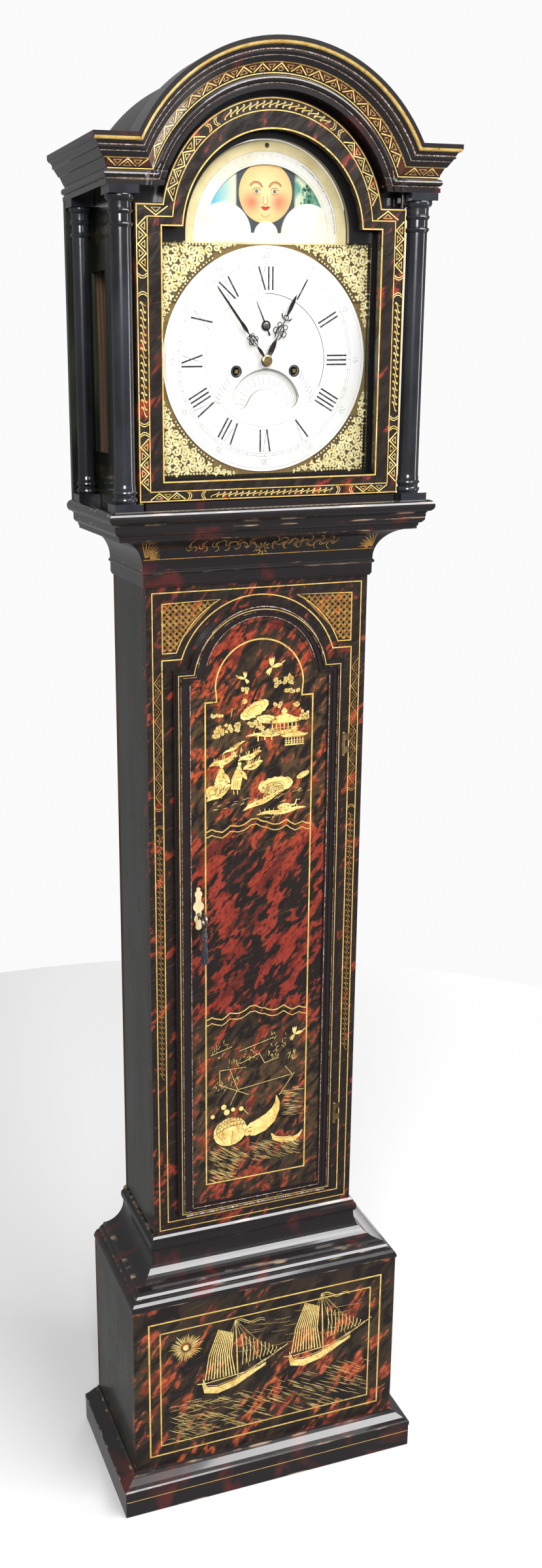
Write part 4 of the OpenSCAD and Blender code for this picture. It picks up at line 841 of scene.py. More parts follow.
def on_cornice(u, v, h):
    """The profile's projection at the lesser of two heights: above the
    cornice's foot, and outwards from the arch's."""
    flat = np.interp(v * 1000 - cornice_foot, CORNICE_UP, CORNICE_OUT)
    arch = np.interp(np.hypot(u * 1000, v * 1000 - arch_centre) - arch_foot, CORNICE_UP, CORNICE_OUT)
    return u, (cornice_front - np.minimum(flat, arch)) / 1000 - 0.0002 - h, v


def mitre_x(up):
    """Where the arch's outline meets the level part, at a height up."""
    return np.sqrt((arch_foot + up) ** 2 - (47 + up) ** 2)


def cornice_path(up, half=None):
    """The cornice's outline at so many millimetres above its foot."""
    half = half or cornice_side + np.interp(up, CORNICE_UP, CORNICE_OUT) - 0.4
    return arched_path(half, 0, cornice_foot + up, arch_foot + up, arch_centre, 97)[1:-1]


cornice_lines = Strokes()
for up, wide in ((51.4, 3.8), (19.6, 2.0), (31.0, 0.9)):
    cornice_lines.line(cornice_path(up), wide)
cornice_lines.mesh("cornice_gilt_lines", on_cornice, 0.0003, "hood", line_gold)
cornice_bands, cornice_ground = Strokes(), Strokes()
band_up, band_side = 25.2, cornice_side - 1
cornice_ground.line(cornice_path(band_up, band_side), 11.0)
spring = np.degrees(np.arctan2(47 + band_up, mitre_x(band_up)))
triangles(cornice_bands, curved((0, arch_centre), arch_foot + band_up, 180 - spring - 2, spring + 2),
          9.5, 26, 1.4)
for side in (-1, 1):
    triangles(cornice_bands, straight((side * (mitre_x(band_up) + 4), cornice_foot + band_up),
                                      (side * (cornice_side - 2), cornice_foot + band_up)), 9.5, 24, 1.4)
# Painted highlights: pale broken lines along the cornice's ridges.
cornice_highlight_strokes = Strokes()
for up, wide in ((44.5, 1.3), (38.0, 0.7), (13.2, 1.5), (7.6, 0.9)):
    cornice_highlight_strokes.line(cornice_path(up), wide)
cornice_highlight_strokes.mesh("cornice_painted_highlights", on_cornice, 0.00015, "hood",
               gilt("painted_ridge_highlight", (0.66, 0.62, 0.60), (0.20, 0.17, 0.16), 0.46, 0.0))
tan = Finish("tan_ground", Roughness=0.3, Coat_Weight=0.4)
tan.give("Base Color", tan.blend(tan.cloud(60.0, 5.0), (0.022, 0.006, 0.004), (0.10, 0.024, 0.008)))
cornice_ground.mesh("cornice_zigzag_ground", on_cornice, 0.00008, "hood", tan.material,
                    ((-1, 0), (-0.96, 1), (-0.5, 1), (0, 1), (0.5, 1), (0.96, 1), (1, 0)))
cornice_bands.mesh("cornice_gilt_zigzag", on_cornice, 0.0004, "hood", picture_gold)

# ------------------------------------------------------------ gilding of hood door
# A patterned gilt border runs round the hood door: triangles at the corners,
# plain medallions, and long stretches of rope between two fine lines.
hood_door_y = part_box("hood_door")[0][1]
hood_low, hood_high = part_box("front_columns")[0][2] * 1000 + 10.5, cornice_foot - 19
hood_lines = Strokes()
for inset, wide in ((2.0, 1.5), (16.5, 1.3)):
    hood_lines.line(arched_path(194.5 - inset, hood_low + max(inset - 3, 0.8), hood_high - inset,
                                160 - inset, arch_centre, 65), wide, True)
opening = arched_path(158.8, hood_low + 25.8, cornice_foot - 46.2, 129.8, arch_centre - 8, 65)
hood_lines.line(opening, 1.8, True)
hood_lines.mesh("hood_door_gilt_lines", on_front(hood_door_y), RELIEF, "hood_door_leaf", line_gold)
hood_bands = Strokes()
for side in (-1, 1):
    x = side * 185.3
    triangles(hood_bands, straight((x, 1937), (x, 2004)), 11.5, 26, 1.5)
    medallion(hood_bands, straight((x, 1906), (x, 1935)), 12)
    rope(hood_bands, straight((x, 1750), (x, 1904)), 10, 9.5, 0.95)
    medallion(hood_bands, straight((x, 1727), (x, 1747)), 12)
    triangles(hood_bands, straight((x, 1656), (x, 1725)), 11.5, 26, 1.5)
    triangles(hood_bands, straight((side * 150, 2011.5), (side * 182, 2011.5)), 11, 26, 1.4)
    foot = hood_low + 7.0
    triangles(hood_bands, straight((side * 178, foot), (side * 128, foot)), 9, 24, 1.3)
    medallion(hood_bands, straight((side * 125, foot), (side * 98, foot)) if side < 0
              else straight((98, foot), (125, foot)), 10)
rope(hood_bands, straight((-94, hood_low + 7), (94, hood_low + 7)), 8.5, 9.0, 0.9)
ARCH_BAND = ((168, 132, triangles, (25, 1.4)), (129, 122, medallion, ()), (120, 60, rope, (9.5, 1.0)),
             (58, 51, medallion, ()), (48, 12, triangles, (25, 1.4)))
for start, end, kind, pitch_and_width in ARCH_BAND:
    kind(hood_bands, curved((0, arch_centre), 150.8, start, end), 10.5, *pitch_and_width)
hood_bands.mesh("hood_door_gilt_bands", on_front(hood_door_y), RELIEF, "hood_door_leaf", picture_gold)
# A flange behind the rear columns stands out from the side boards' faces.
REAR_FLANGE = 0.033
hood_side_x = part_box("hood_side_right")[1][0] - REAR_FLANGE
for side, name in ((-1, "left"), (1, "right")):
    flowers = Strokes()
    lo, hi = -48, 112
    for z in (1673, 1991):
        flowers.rosette(20, z, 3, 15, 12, 2.2)
        flowers.rosette(70, z, 3, 12, 10, 1.8)
        flowers.leaves(np.linspace(-10, 100, 9), z - 6, 15, 70, 1.6, 60)
    flowers.line([(lo, 1645), (hi, 1645), (hi, 2030), (lo, 2030)], 1.1, True)
    flowers.mesh(f"hood_side_gilding_{name}", on_side(side * hood_side_x), 0.0002, "hood", faint_gold)

# ---------------------------------------------------------------- columns
# Four turned columns with moulded bases and capitals, japanned blue-black.
# The front pair stands free of the door, the rear pair against the backboard.
column_lacquer = Finish("blue_black_lacquer", Roughness=0.2, Coat_Weight=0.8, Coat_Roughness=0.05)
smoke = column_lacquer.cloud(24.0, 4.0, column_lacquer.stretched((1.0, 1.0, 0.3)))
column_lacquer.give("Base Color", column_lacquer.blend(column_lacquer.step(smoke, 0.40, 0.72),
                                                       (0.010, 0.010, 0.014), (0.030, 0.034, 0.042)))
column_lacquer.relief(smoke, 0.0006)
column_lacquer.on("front_columns", "rear_columns")

# ------------------------------------------------------------------- glass
# Thin old crown glass puttied into the hood door and the two side windows. It
# is nearly clear, with a faint green cast and a slight ripple.
glass = Finish("crown_glass", Base_Color=(0.01, 0.02, 0.016, 1), Roughness=0.03, Alpha=0.07)
glass.relief(glass.cloud(14.0, 1.0), 0.0008)
glass.on("hood_door_glass", "hood_side_glass")

# ------------------------------------------------------------------ dial plate
# A cast and rolled brass plate: the arch silvered round the moon's opening,
# the corners left brass under the mounts. Feet are riveted to its back.
dial_low, dial_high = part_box("dial_plate")
dial_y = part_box("spandrels")[1][1]
disc_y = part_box("chapter_disc")[0][1]
disc_centre = (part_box("chapter_disc")[0][2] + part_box("chapter_disc")[1][2]) * 500
moon_centre = (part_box("moon_disc")[0][2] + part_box("moon_disc")[1][2]) * 500


def metal(name, base, dark, rough, scale=60.0, metallic=1.0):
    """A metal with fine rubbed streaks and soft tarnish between two tones."""
    made = Finish(name, Metallic=metallic, Roughness=rough)
    tarnish = made.cloud(scale * 0.35, 5.0)
    rub = made.cloud(scale * 9, 2.0, made.stretched((0.15, 1.0, 1.0)))
    made.give("Base Color", made.blend(made.step(tarnish, 0.38, 0.78), base, dark))
    made.give("Roughness", made.node("MapRange", rub, 0.3, 0.7, rough * 0.75, rough * 1.35).outputs[0])
    made.relief(rub, 0.00006)
    return made


plate = metal("dial_brass", (0.96, 0.84, 0.48), (0.74, 0.56, 0.22), 0.34, metallic=0.25)
arch_middle = (0.0, dial_y, moon_centre / 1000)
away = plate.node("VectorMath", plate.place, arch_middle, operation="DISTANCE").outputs["Value"]
silvered_arch = plate.sum("MULTIPLY", plate.step(away, 0.1045, 0.1035),
                          plate.step(plate.axis("Z"), dial_high[2] - 0.1285, dial_high[2] - 0.1275))
shade = plate.cloud(30.0, 4.0)
silver = plate.blend(plate.step(shade, 0.4, 0.8), (0.90, 0.88, 0.80), (0.78, 0.72, 0.52))
brass = plate.shader.inputs["Base Color"].links[0].from_socket
square_top = (disc_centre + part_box("spandrels")[1][0] * 1000) / 1000
brass = plate.blend(plate.step(plate.axis("Z"), square_top, square_top - 0.0005), brass,
                    plate.blend(plate.cloud(260.0, 3.0), (0.12, 0.075, 0.025), (0.36, 0.25, 0.09)))
plate.give("Base Color", plate.blend(silvered_arch, brass, silver))
plate.give("Metallic", plate.sum("SUBTRACT", 0.25, plate.sum("MULTIPLY", silvered_arch, 0.15)))
plate.on("dial_plate")

# ------------------------------------------------------------------ hour disc
# One silvered brass sheet, engraved and filled with black wax: hours, minute
# ring, seconds ring and a calendar mouth. Its silvering is close to white.
silvering = Finish("silvering", Roughness=0.42, Metallic=0.12, Coat_Weight=0.25, Coat_Roughness=0.2)
grain = silvering.cloud(900.0, 2.0, silvering.stretched((0.1, 1.0, 1.0)))
blush = silvering.cloud(12.0, 4.0)
silvering.give("Base Color", silvering.blend(silvering.step(blush, 0.45, 0.85), (0.90, 0.90, 0.885),
                                             (0.80, 0.79, 0.72)))
silvering.relief(grain, 0.00005)
silvering.on("chapter_disc", "calendar_disc")

wax = Finish("black_wax", Roughness=0.5)
worn_wax = wax.cloud(300.0, 3.0)
wax.give("Base Color", wax.blend(wax.step(worn_wax, 0.5, 0.72), (0.02, 0.022, 0.025), (0.16, 0.17, 0.18)))
thin_wax = Finish("thin_wax", Roughness=0.5)
thin_wax.give("Base Color", thin_wax.blend(thin_wax.step(thin_wax.cloud(260.0, 3.0), 0.4, 0.62),
                                           (0.20, 0.21, 0.21), (0.62, 0.62, 0.60)))
NUMERALS = ["XII", "I", "II", "III", "IIII", "V", "VI", "VII", "VIII", "IX", "X", "XI"]
LETTERS = {"I": (6.0, [(0, 0, 0, 1, 2.3)]),
           "V": (13.5, [(-5, 1, 0, 0, 2.3), (5, 1, 0.4, 0, 0.8)]),
           "X": (13.5, [(-5, 1, 5, 0, 2.3), (5, 1, -5, 0, 0.8)])}
DIGITS = {"0": [(0, 2), (1.2, 1.5), (1.5, 0), (1.2, -1.5), (0, -2), (-1.2, -1.5), (-1.5, 0), (-1.2, 1.5),
                (0, 2)],
          "1": [(-0.7, 1.4), (0, 2), (0, -2)],
          "2": [(-1.3, 1.2), (0, 2), (1.3, 1.1), (-1.4, -2), (1.4, -2)],
          "3": [(-1.2, 2), (1.2, 2), (0, 0.3), (1.3, -0.8), (0, -2), (-1.3, -1.5)],
          "4": [(0.8, -2), (0.8, 2), (-1.5, -0.8), (1.5, -0.8)],
          "5": [(1.2, 2), (-1, 2), (-1.2, 0.2), (1.2, 0.1), (1.2, -1.6), (-1.3, -2)],
          "6": [(1, 2), (-1.2, 0), (-1, -1.8), (1, -1.8), (1.2, -0.3), (-1.1, -0.2)]}
hours, faint = Strokes(), Strokes()


def ticks(art, centre, inner, outer, turns, wide):
    """Radial strokes between two radii; turns are clockwise from the top."""
    ends = [np.stack([r * np.sin(turns), centre + r * np.cos(turns)], 1) for r in (inner, outer)]
    art.many(np.stack(ends, 1), wide)


def on_disc(turn, across, out):
    """A place on the disc: turn clockwise from the top, out from the centre."""
    a = radians(turn)
    return np.stack([out * np.sin(a) + across * np.cos(a),
                     disc_centre + out * np.cos(a) - across * np.sin(a)], -1)


for hour, numeral in enumerate(NUMERALS):
    start = -sum(LETTERS[letter][0] for letter in numeral) / 2
    for letter in numeral:
        space, bars = LETTERS[letter]
        for x0, h0, x1, h1, wide in bars:
            a, b = (on_disc(hour * 30, start + space / 2 + x, 92.5 + 30 * h) for x, h in ((x0, h0), (x1, h1)))
            (hours if wide > 1 else faint).line([a, b], wide)
            for x, h in ((x0, h0), (x1, h1)):
                foot = [on_disc(hour * 30, start + space / 2 + x + d, 92.5 + 30 * h) for d in (-2.6, 2.6)]
                faint.line(foot, 0.45)
        start += space
    text = str(hour * 5 or 60)
    for place_at, digit in enumerate(text):
        shift = (place_at - (len(text) - 1) / 2) * 4.6
        faint.line([on_disc(hour * 30, shift + 1.2 * x, 136.5 + 1.7 * z) for x, z in DIGITS[digit]], 0.55)
turns = np.radians(np.arange(0, 360, 6))
ticks(faint, disc_centre, 125.5, 129.0, turns, 0.5)
for r, wide in ((125.5, 0.35), (129, 0.35), (145.5, 0.3)):
    faint.arc(0, disc_centre, r, 0, 360, wide, 145)
hours.arc(0, disc_centre, 88, 90, -24, 0.8, 60)
faint.arc(0, disc_centre, 88, 90, 336, 0.35, 90)
ticks(faint, disc_centre, 84, 88, np.radians(np.arange(0, 360, 7.5)), 0.3)
seconds_centre = disc_centre + 46
for r in (27, 33):
    faint.arc(0, seconds_centre, r, 0, 360, 0.3, 65)
ticks(faint, seconds_centre, 30.5, 33, turns, 0.35)
for side in (-1, 1):
    for spin in np.arange(0, 8):
        faint.leaves(side * (48 + 2.6 * spin), disc_centre - 27 - 4.2 * spin, 19 - spin * 0.8,
                     90 - side * (55 + 5 * spin), 0.8, side * 60.0, 9)
    hours.arc(side * 43, disc_centre - 14, 6.9, 0, 360, 2.6, 41)
mouth = disc_centre - 63.5
hours.arc(0, mouth, 52.7, 95, 15, 1.0, 40)
faint.arc(0, mouth, 52.7, 95, 165, 0.4, 40)
faint.arc(0, mouth, 25.6, 160, 20, 0.4, 40)
hours.mesh("hour_disc_engraving", on_front(disc_y), 0.00005, "case", wax.material)
faint.mesh("hour_disc_fine_engraving", on_front(disc_y), 0.00005, "case", thin_wax.material)
calendar_art = Strokes()
ticks(calendar_art, mouth, 31, 44, np.radians(np.arange(0, 360, 360 / 31)), 0.5)
calendar_art.arc(0, mouth, 46, 0, 360, 0.4, 65)
calendar_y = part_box("calendar_disc")[0][1]
calendar_art.mesh("calendar_engraving", on_front(calendar_y), 0.00005, "calendar", thin_wax.material)

# ------------------------------------------------------------------ spandrels
# Four corner mounts cast in brass from one pattern: C scrolls, leaves and a
# shell, chased, gilt and screwed over the matted corners of the plate.
mount_gold = Finish("gilt_brass_casting", Metallic=0.12, Roughness=0.3)
hollow = mount_gold.cloud(160.0, 4.0)
mount_gold.give("Base Color", mount_gold.blend(mount_gold.step(hollow, 0.42, 0.72), (1.0, 0.92, 0.52),
                                               (0.80, 0.62, 0.22)))
mount_gold.relief(hollow, 0.0004)
matted = Finish("matted_ground", Metallic=0.3, Roughness=0.6)
stipple = matted.node("TexVoronoi", matted.place)
stipple.inputs["Scale"].default_value = 900.0
matted.give("Base Color", matted.blend(matted.step(stipple.outputs[0], 0.1, 0.6), (0.30, 0.20, 0.07),
                                       (0.07, 0.042, 0.014)))
matted.relief(stipple.outputs[0], 0.0003)
matted.on("spandrels")
casting = Strokes()
corner_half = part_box("spandrels")[1][0] * 1000


def scroll(x, z, size, turn, sense, wide):
    """A C scroll: a stroke whose radius shrinks as it winds one and a half
    times, with three leaves thrown off its back."""
    t = np.linspace(0, 1, 22)
    a = radians(turn) + sense * 8.2 * t
    r = size * (1 - 0.78 * t)
    casting.many([np.stack([x + r * np.cos(a), z + r * np.sin(a)], 1)], [wide * (1 - 0.45 * t)])
    back = np.degrees(a[[2, 5, 8]])
    casting.leaves(x + size * 0.95 * np.cos(np.radians(back)), z + size * 0.95 * np.sin(np.radians(back)),
                   size * 0.8, back - sense * 30, wide * 1.1, sense * 80.0)
    casting.dot(x + r[-1] * np.cos(a[-1]), z + r[-1] * np.sin(a[-1]), wide * 0.7)


for sx in (-1, 1):
    for sz in (-1, 1):
        for i, j in np.ndindex(7, 7):
            x, z = corner_half - 7.6 - 12.2 * i, corner_half - 7.6 - 12.2 * j
            if np.hypot(x, z) < 158 or corner_half - min(x, z) > 73:
                continue
            size = 6.4 if (i + j) % 2 else 5.4
            turn = (47 * (i + 2 * j)) % 360 if i >= j else 90 - (47 * (j + 2 * i)) % 360
            c, s = np.cos(radians(turn)), np.sin(radians(turn))
            scroll(sx * x, disc_centre + sz * z, size, np.degrees(np.arctan2(sz * s, sx * c)),
                   (1 if i > j else -1) * sx * sz, 3.0)
        for u, v, size in ((72.4, 145.6, 5.6), (61.5, 147.6, 4.2), (52.5, 149.2, 3.0), (45.6, 150.2, 2.0)):
            for x, z in ((u, v), (v, u)):
                scroll(sx * x, disc_centre + sz * z, size, 40 * size * sx * sz, sx * sz, 0.5 * size)
        edge = np.arange(4, 73, 4.6)
        for u, v in ((edge, 0 * edge + 1.2), (0 * edge + 1.2, edge)):
            casting.dot(sx * (corner_half - u), disc_centre + sz * (corner_half - v), 1.3)
        rim = np.radians(np.arange(31, 60, 1.9))
        casting.dot(sx * 153.4 * np.cos(rim), disc_centre + sz * 153.4 * np.sin(rim), 1.2)
ROUND = ((-1, 0), (-0.75, 0.7), (0, 1), (0.75, 0.7), (1, 0))
casting.mesh("spandrel_scrolls", on_front(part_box("spandrels")[0][1]), 0.0014, "case",
             mount_gold.material, ROUND)

# ---------------------------------------------------------------- moon disc
# The moon's disc is sheet brass painted in oils: a full moon with a face on a
# night ground between two landscapes. It turns behind the arch's two humps.
moon_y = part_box("moon_disc")[0][1]
sky = Finish("painted_sky", Roughness=0.5, Coat_Weight=0.4, Coat_Roughness=0.2)
haze = sky.cloud(22.0, 5.0, twist=0.8)
across = sky.axis("X")
left_land = sky.blend(sky.step(haze, 0.40, 0.60), (0.10, 0.45, 0.58), (0.70, 0.78, 0.55))
left_land = sky.blend(sky.step(across, -0.075, -0.035), left_land, (0.80, 0.78, 0.52))
right_land = sky.blend(sky.step(haze, 0.44, 0.62), (0.70, 0.76, 0.52), (0.10, 0.33, 0.24))
both = sky.blend(sky.step(across, -0.002, 0.002), left_land, right_land)
night = sky.step(sky.sum("ABSOLUTE", across), 0.044, 0.041)
sky.give("Base Color", sky.blend(night, both, (0.045, 0.060, 0.070)))
sky.on("moon_disc")

face_z = moon_centre + 53
skin = Finish("moon_skin", Roughness=0.45, Coat_Weight=0.5, Coat_Roughness=0.15)


def near(material, x, z, r0, r1, squash=1.0):
    """1 within r0 of (x, z) on the dial, falling to 0 at r1, millimetres."""
    flat = material.stretched((1.0, 0.0, squash), shift=(-x / 1000, 0, -z / 1000))
    away = material.node("VectorMath", flat, operation="LENGTH").outputs["Value"]
    return material.step(away, r1 / 1000, r0 / 1000)


tone = skin.blend(near(skin, 0, face_z, 16, 40), (0.78, 0.52, 0.20), (0.90, 0.70, 0.34))
for side in (-1, 1):
    tone = skin.blend(near(skin, side * 20, face_z - 12, 2, 18), tone, (0.80, 0.20, 0.10))
crazing = skin.sum("MULTIPLY", skin.step(skin.cloud(90.0, 4.0), 0.45, 0.7), 0.25)
tone = skin.blend(crazing, tone, (0.70, 0.45, 0.18))
skin.give("Base Color", tone)


def round_patch(name, x, z, r, y, body, material, height, rise=0.0):
    """A shallow dome: height falls with the square of the radius share."""
    spokes = np.linspace(0, 2 * pi, 64, endpoint=False)
    share, turn = np.meshgrid(np.linspace(0, 1, 13)[1:], spokes, indexing="ij")
    u, v = x + r * share * np.cos(turn), z + r * share * np.sin(turn)
    h = rise + height * (1 - share ** 2)
    points = np.stack([u / 1000, y - h, v / 1000], -1).reshape(-1, 3)
    points = np.concatenate([[[x / 1000, y - rise - height, z / 1000]], points])
    index = 1 + np.arange(12 * 64).reshape(12, 64)
    step = np.roll(index, -1, 1)
    fan = [[0, int(a), int(b)] for a, b in zip(index[0], step[0])]
    quads = np.stack([index[:-1], index[1:], step[1:], step[:-1]], -1).reshape(-1, 4).tolist()
    return surface(name, points, fan + quads, body, material, True)


round_patch("moon_face", 0, face_z, 38.5, moon_y - 0.00002, "moon", skin.material, 0.0001)
brush = Strokes()
for side in (-1, 1):
    start, end = (25, 165) if side > 0 else (155, 15)
    for grow, wide in ((0, 2.0), (-1.8, 0.8)):
        brush.arc(side * 14, face_z + 4, 9.5 + grow, start, end, wide, 15)
    brush.arc(side * 13, face_z - 0.5, 6.4, 25, 155, 1.2, 11)
    brush.arc(side * 13, face_z + 3.5, 6.2, 215, 325, 0.8, 11)
    brush.line([(side * 2.2, face_z - 4), (side * 3.4, face_z - 12), (side * 1.6, face_z - 14.5)], 0.8)
brush.arc(0, face_z - 12.5, 2.6, 200, 340, 0.9, 9)
brush.arc(0, face_z - 23, 7.5, 200, 340, 0.6, 11)
paint_brown = flat_paint("brown_line_paint", 200.0, (0.42, 0.13, 0.05), (0.55, 0.22, 0.09))
brush.mesh("moon_brows_and_lines", on_front(moon_y - 0.00012), 0.00005, "moon", paint_brown)
eyes = Strokes()
for side in (-1, 1):
    eyes.dot(side * 13, face_z + 1.6, 2.4)
blue_paint = flat_paint("eye_paint", 300.0, (0.06, 0.10, 0.14), (0.16, 0.24, 0.30), 0.3)
eyes.mesh("moon_eyes", on_front(moon_y - 0.00014), 0.00006, "moon", blue_paint)
lips = Strokes()
lips.leaves(-7, face_z - 19, 8, 24, 3.0, -40)
lips.leaves(7, face_z - 19, 8, 156, 3.0, 40)
lips.leaves(-5.5, face_z - 19.6, 11, -22, 4.2, 44)
red_paint = flat_paint("lip_paint", 300.0, (0.62, 0.035, 0.03), (0.72, 0.09, 0.06), 0.35)
lips.mesh("moon_lips", on_front(moon_y - 0.00014), 0.00006, "moon", red_paint)
trees = Strokes()
spots = 14
for x, z in ((60, 55), (66, 45), (57, 40), (70, 34), (63, 62), (74, 24)):
    trees.dot(x + random.uniform(-6, 6, spots), moon_centre + z + random.uniform(-6, 6, spots),
              random.uniform(1.0, 2.4, spots))
trees.leaves([60, 66], moon_centre + 12, 40, [80.0, 95.0], 2.0)
leaf_paint = flat_paint("leaf_paint", 150.0, (0.04, 0.17, 0.10), (0.12, 0.34, 0.20))
trees.mesh("moon_painted_trees", on_front(moon_y), 0.00006, "moon", leaf_paint)

lunar_lines_and_shadow = Strokes()
lunar_lines_and_shadow.arc(0, moon_centre, 104, 2, 178, 0.5, 90)
# The heavier dark arc on the right, from 1 to 60 degrees at radius 101, is a painted shadow; the other arcs
# and ticks are engraving.
lunar_lines_and_shadow.arc(0, moon_centre, 101, 1, 60, 1.2, 60)
lunar_lines_and_shadow.arc(0, moon_centre, 90.5, 4, 176, 0.3, 90)
ticks(lunar_lines_and_shadow, moon_centre, 97, 101, np.radians(90 - np.arange(6, 175, 5.8)), 0.35)
lunar_lines_and_shadow.mesh("lunar_ring_engraving_and_shadow", on_front(dial_low[1]), 0.00005, "case", thin_wax.material)
screw_steel = metal("screw_steel", (0.25, 0.24, 0.23), (0.05, 0.05, 0.05), 0.3)
round_patch("arch_screw", 0, moon_centre + 111, 3.2, dial_y - 0.0005, "case", screw_steel.material, 0.0035)

# ---------------------------------------------------------------------- hands
# Cut from sheet steel, pierced and blued with a file and a flame, and pinned
# on their arbors under a turned brass collet. The steel has gone brown-black.
blued = Finish("blued_steel", Metallic=0.6, Roughness=0.36)
heat = blued.cloud(140.0, 4.0)
blued.give("Base Color", blued.blend(blued.step(heat, 0.4, 0.75), (0.018, 0.018, 0.024),
                                     (0.09, 0.055, 0.035)))
blued.relief(heat, 0.0003)
collet = metal("collet_brass", (0.90, 0.66, 0.27), (0.66, 0.42, 0.14), 0.22)


def hand(name, cad_node, turn, centre, body, draw, collet_height=0.0):
    """A pierced hand: strokes drawn pointing up, then turned clockwise."""
    art = Strokes()
    draw(art)
    face_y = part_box(cad_node)[0][1] + collet_height
    sheet = 0.001
    c, s = np.cos(radians(turn)), np.sin(radians(turn))

    def place(u, v, h):
        return u * c + v * s, face_y + 0.0011 - h, centre / 1000 - u * s + v * c
    square_edged = ((-1, 0), (-1, 1), (1, 1), (1, 0), (-1, 0))
    return art.mesh(name, place, sheet, body, blued.material, square_edged)


def hour_shape(art):
    """A boss, a waisted stem, two pairs of loops and a long leaf for a point."""
    art.arc(0, 0, 5.6, 0, 360, 4.2, 41)
    art.leaves([-2.2, 2.2], 6, 24, [96, 84], 2.6, [-14, 14], 13)
    art.leaves(0, 5, 30, 90, 3.4)
    for side in (-1, 1):
        art.leaves(side * 1.0, 30, 26, 90 - side * 42, 2.0, side * 84, 15)
        art.arc(side * 6.0, 42, 4.0, 0, 360, 1.2, 25)
        art.arc(side * 4.6, 51, 3.0, 0, 360, 1.1, 25)
        art.leaves(side * 3, 60, 9, 90 - side * 70, 2.0, side * 60, 9)
    art.line([(0, 28), (0, 62)], 1.4)
    art.arc(0, 63, 3.4, 0, 360, 1.3, 25)
    art.leaves(0, 64, 33, 90, 5.4, 0, 15)


def minute_shape(art):
    """The hour hand's pattern drawn narrower, under a long tapering pointer."""
    art.arc(0, 0, 5.4, 0, 360, 4.0, 41)
    art.leaves(0, 5, 20, 90, 4.6)
    for side in (-1, 1):
        art.leaves(side * 0.8, 24, 22, 90 - side * 44, 1.8, side * 88, 15)
        art.arc(side * 4.4, 33, 3.0, 0, 360, 1.1, 25)
        art.arc(side * 3.2, 40, 2.3, 0, 360, 1.0, 25)
    art.line([(0, 22), (0, 48)], 1.3)
    art.leaves([-1.2, 1.2], 47, 18, [98, 82], 1.8, [-16, 16], 11)
    art.line([(0, 46), (0, 60), (0, 90), (0, 117), (0, 122)], np.array([[2.0, 3.6, 3.0, 2.0, 0.5]]))


def seconds_shape(art):
    """A plain tapering pointer with a short tail."""
    art.arc(0, 0, 4.6, 0, 360, 4.4, 37)
    art.line([(0, -14), (0, -6), (0, 6), (0, 28), (0, 35.5)], np.array([[3.2, 1.6, 2.0, 1.2, 0.4]]))


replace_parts(hand("hour_hand_pierced", "hour_hand", 27, disc_centre, "hour_pipe", hour_shape), "hour_hand")
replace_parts(hand("minute_hand_pierced", "minute_hand", -37, disc_centre, "centre_arbor", minute_shape,
                 0.0019), "minute_hand")
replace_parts(hand("seconds_hand_shaped", "seconds_hand", -24, seconds_centre, "escape_arbor", seconds_shape),
            "seconds_hand")
round_patch("hand_collet", 0, disc_centre, 7.2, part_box("minute_hand")[0][1] + 0.0019, "centre_arbor",
            collet.material, 0.0018)

# ----------------------------------------------------------------- movement
# An eight-day brass movement: cast plates held by pillars, brass wheels on
# steel arbors, grooved brass barrels, and a steel anchor behind the plates.
movement_brass = metal("movement_brass", (0.78, 0.58, 0.27), (0.42, 0.28, 0.12), 0.3)
movement_brass.on("movement_front_plate", "movement_back_plate", "back_cock", "centre_wheel", "minute_wheel",
                  "hour_wheel", "great_wheel", "going_barrel", "third_wheel", "escape_wheel", "strike_barrel")
movement_steel = metal("movement_steel", (0.42, 0.42, 0.43), (0.14, 0.12, 0.11), 0.32)
movement_steel.on("anchor", "hammer", "bell_stand")
round_patch("seconds_collet", 0, seconds_centre, 4.4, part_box("seconds_hand")[0][1] + 0.0001, "escape_arbor",
            movement_steel.material, 0.0006)
bell_metal = metal("bell_metal", (0.72, 0.62, 0.42), (0.48, 0.38, 0.22), 0.24)
bell_metal.on("bell")

# ----------------------------------------------------------------- pendulum
# A steel rod hung from a brass strip, with a brass-faced lead bob that slides
# on it over a rating nut.
movement_steel.on("pendulum_rod")
bob_brass = metal("bob_brass", (0.80, 0.58, 0.25), (0.46, 0.28, 0.10), 0.3, 30.0)
bob_brass.on("pendulum_bob")

# ------------------------------------------------------------------ weights
# Two cast iron weights on pulleys, hung by gut lines wound on the barrels. The
# iron is rough and black with a little rust.
iron = Finish("cast_iron", Metallic=0.4, Roughness=0.6)
rust = iron.cloud(45.0, 5.0)
cast = iron.cloud(260.0, 4.0)
iron.give("Base Color", iron.blend(iron.step(rust, 0.52, 0.7), (0.045, 0.043, 0.042), (0.17, 0.07, 0.035)))
iron.relief(cast, 0.0006)
iron.on("weight_going", "weight_striking")
gut = Finish("gut", Roughness=0.45, Coat_Weight=0.3)
twist = gut.node("TexWave", gut.place, bands_direction="Z")
twist.inputs["Scale"].default_value = 140.0
gut.give("Base Color", gut.blend(twist.outputs[1], (0.42, 0.27, 0.11), (0.66, 0.48, 0.24)))
gut.relief(twist.outputs[1], 0.0003)


